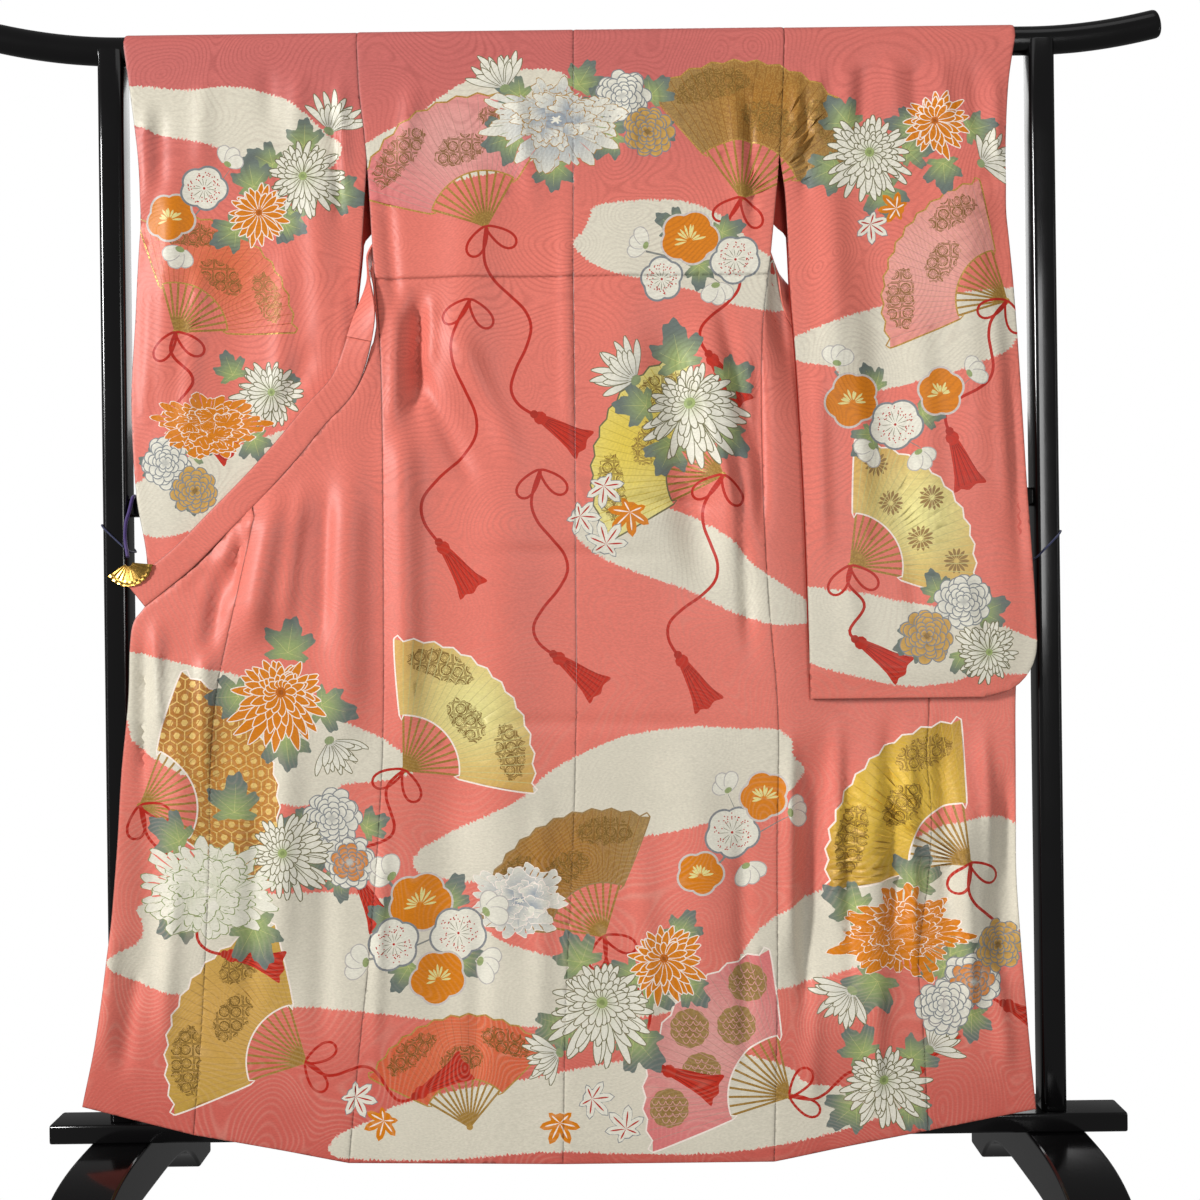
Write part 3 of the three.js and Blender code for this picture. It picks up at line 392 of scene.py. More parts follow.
def mum(x, y, r, count, rings, fill, ink, tone, heart, stretch, lean, fat):
    """A chrysanthemum seen from above: rings of slim petals, longer towards the side it leans to."""
    full, ends = (1.6, 0.8) if fill is ORANGE else (2.1, 0.55)
    lies_on((x, y))
    lean = math.radians(lean)
    for k in range(rings):
        n = count - 3 * k
        for i in range(n):
            a = (i + 0.5 * (k % 2)) * 2 * math.pi / n + DRAW.uniform(-0.1, 0.1)
            long = 1 + stretch * math.cos(a - lean)
            far = r * (1 - 0.21 * k) * long * DRAW.uniform(0.82, 1.06)
            wide = fat * r * (0.074 - 0.005 * k) * min(1.25, 0.6 + 0.4 * long)
            bend = DRAW.uniform(-0.12, 0.12)
            petal(x, y, a, 0.08 * r, far, wide, fill, ink, tone, 0.8, bend, full, ends)
    disc(x, y, 0.11 * r, heart)
    disc(x, y, 0.055 * r, 0.7 * heart)


def side_mum(x, y, r, lean, spread, count):
    """A chrysanthemum seen from the side: a fan of petals out of a green cup."""
    tone = 0.7 * PETAL + 0.3 * GREY
    lies_on((x, y))
    for k, share in enumerate((1.0, 0.74)):
        n = count - 2 * k
        for i in range(n):
            a = math.radians(lean + spread * ((i + 0.5) / n - 0.5) * (1 - 0.25 * k) + DRAW.uniform(-4, 4))
            far = r * share * DRAW.uniform(0.78, 1.06)
            petal(x, y, a, 0.08 * r, far, 0.058 * r + 0.6, PETAL, INK, tone, bend=DRAW.uniform(-0.15, 0.15))
    disc(x, y, 0.1 * r, 0.6 * LEAF + 0.4 * LEAF_TIP, 1.3, math.radians(lean + 90))


def ball_mum(x, y, r, fill=PETAL, ink=GREY, tone=None, heart=None):
    """A round chrysanthemum of broad curled petals."""
    tone = 0.5 * fill + 0.5 * GREY if tone is None else tone
    lies_on((x, y))
    disc(x, y, 0.6 * r, tone)
    for k, share in enumerate((1.0, 0.86, 0.7, 0.54, 0.38, 0.24)):
        n = (11, 10, 9, 7, 6, 4)[k]
        for i in range(n):
            a = (i + 0.5 * k) * 2 * math.pi / n + DRAW.uniform(-0.16, 0.16)
            body = fill if heart is None or k < 2 else heart
            far = r * share * DRAW.uniform(0.92, 1.06)
            wide = 0.25 * r * (0.25 + 0.75 * share)
            petal(x, y, a, 0.35 * far, far, wide, body, ink, tone, 0.9, DRAW.uniform(-0.2, 0.2), 1.3, 0.4)
    disc(x, y, 0.07 * r, tone)


def ruffle(x, y, angle, near, far, half, lobes, notch, fill, ink, tone, width, squash=1.0, **kind):
    """A broad petal with a deeply ragged edge."""
    s = np.linspace(-1, 1, 10 * lobes + 1)
    depth = notch * (0.75 + 0.25 * np.sin(s * 9 + far))
    ragged = 1 - (1 - np.abs(np.cos(s * lobes * math.pi / 2))) ** 1.1 * depth
    ragged *= 1 + 0.12 * np.sin(s * 5 + far) + 0.04 * np.sin(s * 31 + far) - 0.22 * np.abs(s) ** 2.2
    spread = half * (s + 0.12 * np.sin(s * lobes * math.pi))
    for grow in (width, 0):
        reach = far * ragged + grow
        px = x + reach * np.cos(angle + spread * (1 + grow / far))
        py = y + squash * reach * np.sin(angle + spread * (1 + grow / far))
        foot = [(x + near * math.cos(angle), y + squash * near * math.sin(angle))]
        outline = np.vstack((np.column_stack((px, py)), foot))
        if grow:
            put(outline, ink, **kind)
        else:
            put(outline, tone, fill, (x, y), 1.1 * far, **kind)


def peony(x, y, rx, ry, fill=PETAL, ink=CHALK, tone=None, rings=4, count=7, notch=0.3, width=1.2, **kind):
    """A peony: layers of broad petals with ragged edges, crowded about a heart a little off its middle."""
    tone = 0.6 * fill + 0.4 * GREY if tone is None else tone
    lies_on((x, y))
    disc(x, y, 0.6 * min(rx, ry), fill)
    for k in range(rings):
        n, share = max(3, count - k), 1 - 0.22 * k
        for i in range(n):
            a = (i + 0.5 * (k % 2)) * 2 * math.pi / n + DRAW.uniform(-0.25, 0.25)
            far = rx * share * DRAW.uniform(0.78, 1.1)
            px, py = x + 0.12 * rx * k * math.cos(a + 1.9), y + 0.1 * ry * k * math.sin(a + 1.9)
            half, lobes = math.pi / n * DRAW.uniform(1.0, 1.35), DRAW.choice((4, 5, 6))
            ruffle(px, py, a, 0.04 * rx, far, half, lobes, notch, fill, ink, tone, width, ry / rx, **kind)
    disc(px, py, 0.07 * rx, fill)


def plum(x, y, r, fill=ORANGE, rim=None, stamen=PALE, turn=0.0, dots=None, lean=80):
    """A five-petalled blossom with stamens."""
    rim = 0.55 * CHALK + 0.45 * GREY if rim is None else rim
    lies_on((x, y))
    a = np.arange(48) * 2 * math.pi / 48
    lobes = 0.82 + 0.17 * np.abs(np.cos(2.5 * (a - turn))) ** 0.75 + 0.05 * np.cos(2 * a + 3 * turn)
    for grow, body in ((2.2, rim), (0.0, None)):
        points = np.column_stack((x + (r * lobes + grow) * np.cos(a), y + (r * lobes + grow) * np.sin(a)))
        put(points, fill if body is None else body)
    spread = 360 if dots is not None else 200
    count = 13 if dots is not None else 10
    cy = y if dots is not None else y + 0.12 * r
    for i in range(count):
        b = math.radians(lean + 180 + spread * ((i + 0.5) / count - 0.5) + DRAW.uniform(-7, 7))
        far = r * DRAW.uniform(0.4, 0.62)
        wide = 0.3 if dots is not None else 1.15
        petal(x, cy, b, 0.1 * r, far, wide, stamen, stamen, stamen, 0)
        if dots is not None:
            for _ in range(5):
                b2, far2 = b + DRAW.uniform(-0.24, 0.24), r * DRAW.uniform(0.42, 0.74)
                disc(x + far2 * math.cos(b2), y + far2 * math.sin(b2), 0.75, dots, count=5)
    if dots is not None:
        disc(x, y, 1.4, dots, count=6)


def bud(x, y, r, lean, fill=PETAL, rim=None, count=3):
    """A half-open blossom seen from the side, in its green cup."""
    rim = 0.35 * CHALK + 0.65 * GREY if rim is None else rim
    lies_on((x, y))
    lean = math.radians(lean)
    for i in range(count):
        a = lean + (i - (count - 1) / 2) * 0.8
        petal(x, y, a, 0, r * DRAW.uniform(0.86, 1.08), 0.36 * r, fill, rim, 0.93 * fill, 0.9, 0, 1.5, 0.42)
    disc(x, y, 0.15 * r, 0.8 * LEAF + 0.2 * LEAF_TIP, 1.5, lean + 1.57)


def maple(x, y, r, turn, fill=PETAL, ink=GREY, vein=GREY):
    lies_on((x, y))
    turn = math.radians(turn)
    tips = [(-2.3, 0.66), (-1.35, 0.9), (-0.45, 1.0), (0.45, 1.02), (1.35, 0.9), (2.3, 0.64)]
    for grow, body in ((1.1, ink), (0, fill)):
        points = []
        for k, (a, long) in enumerate(tips):
            nxt = tips[(k + 1) % len(tips)][0] + (2 * math.pi if k == len(tips) - 1 else 0)
            for share, reach in ((-0.34, 0.6), (-0.2, 0.82), (0, 1.0), (0.2, 0.82), (0.34, 0.6)):
                points.append((a + share, (r * long * reach) + grow))
            points.append(((a + nxt) / 2, 0.4 * r + grow))
        angles, reach = np.array(points).T
        put(np.column_stack((x + reach * np.cos(angles + turn), y + reach * np.sin(angles + turn))), body)
    for a, long in tips:
        petal(x, y, a + turn, 0, 0.78 * r * long, 0.8, vein, vein, vein, 0)


def leaf(x, y, r, turn, near=LEAF, far=LEAF_TIP):
    """A leaf of five toothed lobes, green at its foot and slate at its tips."""
    lies_on((x, y))
    turn = math.radians(turn)
    a = np.linspace(-math.pi, math.pi, 90, endpoint=False)
    reach = 0.3 + 0.12 * np.cos(a)
    tips = ((0, 1.0, 0.52), (0.85, 0.84, 0.42), (-0.9, 0.8, 0.42), (1.75, 0.56, 0.4), (-1.85, 0.55, 0.4))
    for at, long, wide in tips:
        off = (a - at + math.pi) % (2 * math.pi) - math.pi
        reach = np.maximum(reach, long * DRAW.uniform(0.88, 1.08) * np.exp(-np.abs(off / wide) ** 1.9 * 0.55))
    reach = reach * (1 + 0.06 * np.sin(a * 20) * (reach > 0.4))
    c, s = math.cos(turn), math.sin(turn)

    def at(u, v):
        return x + r * (u * c - v * s), y + r * (u * s + v * c)

    px, py = at(reach * np.cos(a), reach * np.sin(a))
    put(np.column_stack((px, py)), near, far, (x, y), 0.88 * r)
    pale = 0.5 * near + 0.5 * PALE
    for angle, long, _ in tips:
        long *= 0.72
        line([at(0, 0), at(long / 2 * math.cos(angle), long / 2 * math.sin(angle)),
            at(long * math.cos(angle), long * math.sin(angle))], 0.5, pale, taper=True)


def tassel(x, y, long, turn):
    """A tied tassel: a round head and a skirt of threads."""
    lies_on((x, y))
    turn = math.radians(turn)
    c, s = math.cos(turn), math.sin(turn)

    def at(u, v):
        return x + long * (u * c - v * s), y + long * (u * s + v * c)

    skirt = [
        (0.0, -0.07), (0.3, -0.14), (0.7, -0.2), (1.0, -0.3), (0.97, -0.1), (1.03, 0.06), (0.96, 0.2),
        (0.98, 0.34), (0.66, 0.22), (0.3, 0.14), (0.0, 0.07),
    ]
    put([at(*p) for p in curve(skirt, True, 0.05)], TASSEL)
    for v in (-0.22, -0.12, -0.02, 0.1, 0.2):
        line([at(0.12, 0.25 * v), at(0.5, 0.7 * v), at(0.92, 1.1 * v)], 0.7, 0.55 * TASSEL)
        line([at(0.2, 0.25 * v + 0.03), at(0.55, 0.7 * v + 0.05), at(0.9, 1.1 * v + 0.06)], 0.5, 1.3 * TASSEL)
    disc(*at(-0.02, 0), 0.13 * long, TASSEL)
    disc(*at(-0.16, 0), 0.08 * long, 0.8 * TASSEL)


# ---- The painting --------------------------------------------------------------------------------
OLIVE = colour(150, 120, 72)
SLATE = colour(140, 150, 160)
STRAIGHT = 14.0  # step along a line that doesn't bend
# Lace on a fan's leaf: from and to, in shares of its radius and then of its spread.
LACE_PATCHES = [(0.74, 0.95, 0.06, 0.4), (0.5, 0.72, 0.36, 0.7), (0.72, 0.93, 0.66, 0.95)]
# Banks of mist left white: x, y, half length, half height, slope.
BANKS = [
    (230, 120, 116, 34, 0.22), (215, 480, 120, 36, -0.35), (468, 128, 104, 50, -0.3),
    (690, 252, 116, 44, 0.28),
    (925, 335, 130, 42, -0.2), (905, 640, 140, 42, 0.12), (690, 560, 116, 38, 0.42),
    (620, 800, 190, 52, -0.3),
    (240, 730, 150, 58, 0.3), (370, 962, 270, 58, 0.12), (915, 905, 170, 60, -0.3),
    (620, 1112, 270, 46, -0.06),
]
# Folding fans: pivot x, y, radius, direction, spread, colour at the middle and at the rim, hem, leaf, print.
FANS = [
    (172, 330, 120, -55, 110, FLAME, CORAL, GOLD, 0.12, "lace"),
    (486, 226, 138, -112, 108, PINK, ROSE, GOLD, 0.0, "lace"),
    (742, 196, 142, -74, 112, OCHRE, OLIVE, GOLD, 0.3, "lace"),
    (722, 476, 132, -158, 104, YELLOW, PALE, INK, 0.0, "lace"),
    (1008, 300, 126, -152, 100, colour(226, 160, 150), colour(218, 140, 130), GOLD, 0.12, "lace"),
    (850, 566, 126, -36, 104, PALE, BUFF, CHALK, 0.0, "blossoms"),
    (140, 806, 142, -18, 108, colour(196, 130, 52), colour(166, 106, 44), CHALK, 0.25, "hexagons"),
    (306, 1062, 142, -152, 100, BUFF, colour(190, 152, 66), CHALK, 0.2, "lace"),
    (404, 770, 132, -42, 104, PALE, BUFF, CHALK, 0.0, "lace"),
    (604, 936, 128, -122, 106, OCHRE, OLIVE, OLIVE, 0.22, "lace"),
    (968, 862, 142, -142, 100, colour(226, 188, 66), colour(176, 136, 44), CHALK, 0.3, "lace"),
    (790, 1096, 148, -150, 104, PINK, ROSE, CHALK, 0.0, "medallions"),
    (470, 1126, 112, -100, 108, FLAME, colour(206, 88, 56), GOLD, 0.1, "lace"),
]
# Cords hanging from the fans' pivots: x, y, direction, length, sway.
TRAILS = [
    (172, 330, 82, 96, 16), (486, 226, 74, 200, 24), (742, 196, 100, 168, 20), (722, 476, 102, 190, 24),
    (1008, 300, 112, 150, 18), (850, 566, 82, 78, 12), (140, 806, 58, 176, 24), (306, 1062, 14, 120, 16),
    (404, 770, 112, 120, 20), (604, 936, 64, 150, 18), (968, 862, 74, 150, 20), (790, 1096, -12, 132, 16),
    (470, 300, 96, 250, 30), (540, 470, 84, 190, 26),
]
# Leaves under the flowers: x, y, distance out, length, count, first direction.
SPRIGS = [
    (300, 176, 34, 30, 4, 20), (255, 210, 28, 26, 3, 150), (240, 404, 34, 30, 4, 60),
    (176, 470, 22, 24, 3, 200),
    (556, 118, 44, 32, 5, 10), (632, 112, 28, 26, 4, 300), (700, 240, 24, 24, 3, 80),
    (872, 150, 38, 32, 4, 70),
    (944, 130, 30, 26, 3, 330), (892, 412, 30, 24, 3, 20), (950, 624, 32, 28, 4, 250),
    (690, 404, 44, 34, 5, 30),
    (282, 694, 42, 34, 4, 100), (232, 872, 60, 38, 5, 200), (338, 842, 32, 30, 3, 320),
    (428, 936, 36, 28, 4, 200),
    (604, 1002, 46, 36, 4, 60), (664, 962, 32, 28, 3, 300), (902, 934, 52, 36, 4, 20),
    (970, 984, 30, 28, 3, 80),
    (884, 1082, 36, 30, 4, 140),
]
# Chrysanthemums seen from above: x, y, radius, petals, rings, orange or white, how much longer they are
# on one side, and its direction.
MUMS = [
    (300, 172, 40, 26, 3, 0, 0.2, 45), (255, 208, 32, 20, 2, 1, 0.1, 90),
    (268, 390, 36, 26, 3, 0, 0.2, 140),
    (872, 148, 45, 28, 4, 0, 0.2, 110), (938, 116, 35, 20, 3, 1, 0.2, 60),
    (988, 652, 32, 24, 3, 0, 0.1, 200),
    (690, 402, 52, 28, 4, 0, 0.35, 70), (282, 692, 48, 24, 4, 1, 0.3, 100),
    (284, 852, 44, 26, 4, 0, 0.2, 30),
    (602, 1002, 53, 28, 4, 0, 0.25, 100), (664, 958, 40, 22, 3, 1, 0.2, 60),
    (884, 1080, 44, 26, 4, 0, 0.25, 80),
]
# Chrysanthemums seen from the side: x, y, radius, direction, spread, petals.
SIDE_MUMS = [
    (326, 126, 40, 296, 130, 9), (504, 84, 42, 248, 120, 9), (984, 160, 38, 330, 140, 9),
    (636, 380, 46, 214, 130, 9),
    (330, 740, 40, 60, 120, 9), (852, 990, 42, 130, 150, 11), (930, 1050, 38, 320, 120, 9),
    (560, 1052, 38, 160, 120, 9),
]
# Round chrysanthemums: x, y, radius, colour.
BALLS = [
    (162, 462, 26, "pale"), (192, 490, 24, "buff"), (622, 92, 28, "pale"), (648, 128, 26, "buff"),
    (962, 602, 28, "pale"), (926, 636, 27, "buff"),
    (332, 818, 30, "pale"), (350, 862, 27, "orange heart"), (972, 980, 30, "orange heart"),
    (944, 1006, 28, "pale"), (1000, 946, 25, "buff"),
]
# Five-petalled blossoms: x, y, radius, orange or white, turn.
PLUMS = [
    (166, 214, 24, 1, 0.3), (200, 184, 22, 0, 0.1), (690, 236, 28, 1, 0.1), (736, 258, 24, 0, 0.4),
    (662, 278, 21, 0, 0.8),
    (852, 400, 27, 1, 0.5), (896, 424, 25, 0, 0.2), (940, 392, 23, 1, 0.9), (420, 902, 30, 1, 0.1),
    (458, 934, 27, 0, 0.3),
    (394, 944, 25, 0, 0.7), (438, 978, 27, 1, 0.4), (732, 832, 26, 0, 0.2), (764, 796, 24, 1, 0.6),
    (700, 872, 22, 1, 0.1),
]
# Half-open blossoms: x, y, length, direction.
BUDS = [
    (176, 246, 20, 110), (224, 160, 18, 300), (716, 284, 20, 80), (646, 244, 18, 200),
    (836, 364, 20, 280),
    (872, 446, 20, 130), (918, 452, 18, 60), (968, 374, 18, 330), (392, 876, 24, 220),
    (486, 912, 24, 330),
    (480, 962, 22, 20), (366, 962, 22, 190), (746, 866, 20, 60), (790, 812, 20, 350), (728, 790, 18, 240),
]
# Maple leaves: x, y, radius, turn, colour.
MAPLES = [
    (604, 486, 22, 70, PETAL), (630, 512, 24, 110, ORANGE), (580, 516, 21, 30, PETAL),
    (606, 544, 24, 280, PETAL),
    (872, 222, 20, 60, PETAL), (898, 206, 18, 200, ORANGE), (560, 1122, 22, 90, ORANGE),
    (592, 1098, 22, 20, PETAL),
    (626, 1128, 23, 250, PETAL), (356, 1096, 22, 40, PETAL), (384, 1120, 20, 130, ORANGE),
]
# Twigs: points and width.
TWIGS = [
    ([(166, 238), (190, 212), (226, 166)], 2.0), ([(646, 250), (690, 262), (726, 286)], 2.2),
    ([(834, 372), (866, 412), (920, 448)], 2.6), ([(866, 404), (930, 410), (968, 380)], 2.0),
    ([(388, 880), (424, 920), (480, 964)], 3.0), ([(366, 960), (420, 944), (486, 914)], 2.4),
    ([(696, 888), (732, 850), (788, 816)], 2.6), ([(722, 860), (736, 820), (728, 794)], 1.8),
]


def bank(x, y, long, high, slope):
    """A bank of mist: a long lobed shape."""
    t = (np.arange(18) / 9 + 0.5) * math.pi
    swell = 1 + 0.14 * np.cos(3 * t + x) + 0.08 * np.cos(5 * t + y)
    u, v = long * np.cos(t) * swell, high * np.sin(t) * swell
    return np.column_stack((x + u, y + v + slope * u))


def hexagons(whole, low, high, size, ink):
    """Tortoiseshell lattice."""
    for row, y in enumerate(np.arange(low[1], high[1], 1.5 * size)):
        for x in np.arange(low[0] + (row % 2) * size * 0.87, high[0], 1.74 * size):
            sixths = [k * math.pi / 3 for k in range(7)]
            ring = [(x + size * math.sin(a), y + size * math.cos(a)) for a in sixths]
            for p, q in zip(ring[:-1], ring[1:]):
                line([p, q], 1.1, ink, inside=whole, foil=0.5)
            disc(x, y, 0.42 * size, ink, count=6, inside=whole, foil=0.5)


def medallion(x, y, r, whole):
    """A scalloped disc with a scale pattern."""
    a = np.arange(48) * math.pi / 24
    rim = r * (0.93 + 0.07 * np.abs(np.sin(5 * a)))
    outline = np.column_stack((x + rim * np.cos(a), y + rim * np.sin(a)))
    put(outline, BROWN, OLIVE, (x, y), r, foil=0.25, inside=whole)
    for k in range(7):
        for side in range(-3, 4):
            px, py = x + side * 7 + 3.5 * (k % 2), y + (k - 3) * 6
            if math.hypot(px - x, py - y) < 0.78 * r:
                scale = ((-3.5, -1), (-2, 2), (0, 3), (2, 2), (3.5, -1))
                line([(px + u, py + v) for u, v in scale], 0.7, PINK, inside=whole)


def folding_fan(x, y, r, turn, spread, fill, rim, hem, foil, print_name, pleats=12):
    """An open folding fan: sticks out of a pivot, and a pleated and printed leaf."""
    first, wide = math.radians(turn - spread / 2), math.radians(spread)

    def at(reach, share):
        angle = first + wide * np.asarray(share, float)
        return np.column_stack((x + reach * np.cos(angle), y + reach * np.sin(angle)))

    middle = at(0.7 * r, [0.5])[0]
    lies_on(middle)
    for share in (np.arange(pleats) + 0.5) / pleats:
        line(at(np.array([0, 0.25, 0.5]) * r, [share] * 3), 2.2, 0.8 * GOLD, step=STRAIGHT, foil=0.3)
    folds = np.linspace(0, 1, 2 * pleats + 1)
    scallop = r * np.where(np.arange(2 * pleats + 1) % 2, 0.975, 1.0)
    outline = np.vstack((at(scallop, folds), at(0.42 * r, folds[::-1])))
    whole = put(outline, fill, rim, middle, 0.8 * r, foil=foil)
    if print_name == "lace":
        t = np.arange(16) * math.pi / 8
        for near, far, low, high in LACE_PATCHES:
            share = (low + high) / 2 + (high - low) / 2 * np.cos(t)
            patch = at(r * ((near + far) / 2 + (far - near) / 2 * np.sin(t)), share)
            patch = jagged(patch, 2.2, 3, len(DRAWING))
            put(patch, fill, rim, middle, 0.8 * r, lace=1.0, foil=foil, inside=whole)
    elif print_name == "hexagons":
        hexagons(whole, outline.min(0), outline.max(0), 8.5, colour(226, 190, 112))
    elif print_name == "medallions":
        for reach, share in ((0.82, 0.16), (0.62, 0.36), (0.82, 0.54), (0.6, 0.72), (0.82, 0.88)):
            medallion(*at(reach * r, [share])[0], 20, whole)
    else:
        for reach, share in ((0.84, 0.12), (0.6, 0.3), (0.84, 0.46), (0.6, 0.64), (0.84, 0.82)):
            px, py = at(reach * r, [share])[0]
            for k in range(14):
                petal(px, py, k * math.pi / 7, 2, 13, 1.5, OLIVE, OLIVE, OLIVE, 0, inside=whole)
    for share in folds[1:-1]:
        fold = at(np.array([0.42, 0.7, 0.98]) * r, [share] * 3)
        line(fold, 0.7, 0.72 * fill + 0.1 * OLIVE, step=STRAIGHT, inside=whole)
    line(outline, 1.6, hem, True, 4, foil=0.7 if hem is GOLD else 0.0)
    disc(x, y, 3.4, GOLD, foil=0.6)


def trail(x, y, turn, long, sway):
    """A loose cord with two loops at its start and a tassel at its end."""
    lies_on((x, y))
    way, s = math.radians(turn), np.linspace(0, 1, 12)
    t = np.linspace(0, 2 * math.pi, 14)
    for side in (-0.75, 0.75):
        u, v = 17 * (1 - np.cos(t)), 11 * np.sin(t) * (0.7 - 0.3 * np.cos(t))
        c, d = math.cos(way + side), math.sin(way + side)
        line(np.column_stack((x + u * c - v * d, y + u * d + v * c)), 2.6, CORD)
    off = sway * np.sin(3 * math.pi * s) * (0.35 + 0.65 * s)
    px = x + long * s * math.cos(way) - off * math.sin(way)
    py = y + long * s * math.sin(way) + off * math.cos(way)
    line(np.column_stack((px, py)), 3.0, CORD)
    tassel(px[-1], py[-1], 52, math.degrees(math.atan2(py[-1] - py[-2], px[-1] - px[-2])))


def paint():
    for i, row in enumerate(BANKS):
        cloud(i, bank(*row))
    for row in FANS:
        folding_fan(*row)
    for row in TRAILS:
        trail(*row)
    for points, width in TWIGS:
        lies_on(points)
        line(points, width, TWIG, taper=True)
    for x, y, out, long, count, first in SPRIGS:
        for i in range(count):
            way = first + 360 * (i + DRAW.uniform(-0.2, 0.2)) / count
            a = math.radians(way)
            leaf(x + out * math.cos(a), y + out * math.sin(a), long * DRAW.uniform(0.9, 1.2), way)
    for row in MAPLES:
        x, y, r, turn, fill = row
        maple(x, y, r, turn, fill, GREY if fill is PETAL else fill, CORD if fill is PETAL else CHALK)
    for row in SIDE_MUMS:
        side_mum(*row)
    for x, y, r, kind in BALLS:
        if kind == "buff":
            ball_mum(x, y, r, BUFF, GREY, BROWN)
        else:
            ball_mum(x, y, r, heart=ORANGE if kind == "orange heart" else None)
    for x, y, r, count, rings, warm, stretch, lean in MUMS:
        if warm:
            mum(x, y, r, count, rings, ORANGE, CHALK, ORANGE, ORANGE_DEEP, stretch, lean, 1.25)
        else:
            mum(x, y, r, count, rings, PETAL, INK, 0.62 * PETAL + 0.38 * LEAF, LEAF, stretch, lean, 0.9)
    peony(204, 424, 54, 36, ORANGE, CHALK, ORANGE, 4, 8, 0.46, 1.2)
    peony(556, 116, 64, 48, PETAL, GOLD, SLATE, 5, 9, 0.48, 1.1, thread=1.0)
    peony(208, 890, 70, 52, PETAL, 0.7 * LEAF, 0.75 * PETAL + 0.25 * LEAF, 4, 8, 0.48, 1.2)
    peony(902, 932, 68, 46, ORANGE, CHALK, ORANGE, 4, 9, 0.48, 1.2)
    peony(520, 900, 50, 38, PETAL, CHALK, SLATE, 4, 7, 0.4, 1.1)
    for x, y, r, warm, turn in PLUMS:
        plum(x, y, r, turn=turn) if warm else plum(x, y, r, PETAL, GREY, INK, turn, CORD)
    for row in BUDS:
        bud(*row)


paint()


# ---- Materials -----------------------------------------------------------------------------------
def material(name, **fixed):
    """A new material, its tree and its shader with some sockets set."""
    made = bpy.data.materials.new(name)
    made.use_nodes = True
    tree = made.node_tree
    shader = tree.nodes["Principled BSDF"]
    for socket, value in fixed.items():
        shader.inputs[socket.replace("_", " ")].default_value = value
    return made, tree, shader


def node(tree, kind, inputs=None, **settings):
    made = tree.nodes.new(kind)
    for key, value in settings.items():
        setattr(made, key, value)
    for key, value in (inputs or {}).items():
        if isinstance(value, bpy.types.NodeSocket):
            tree.links.new(value, made.inputs[key])
        else:
            made.inputs[key].default_value = value
    return made


def maths(tree, operation, a, b=0.0, c=0.0, clamp=False):
    return node(tree, "ShaderNodeMath", {0: a, 1: b, 2: c}, operation=operation, use_clamp=clamp).outputs[0]


def blend(tree, mode, share, a, b):
    made = node(tree, "ShaderNodeMix", {0: share, 6: a, 7: b}, data_type="RGBA", blend_type=mode)
    return made.outputs[2]


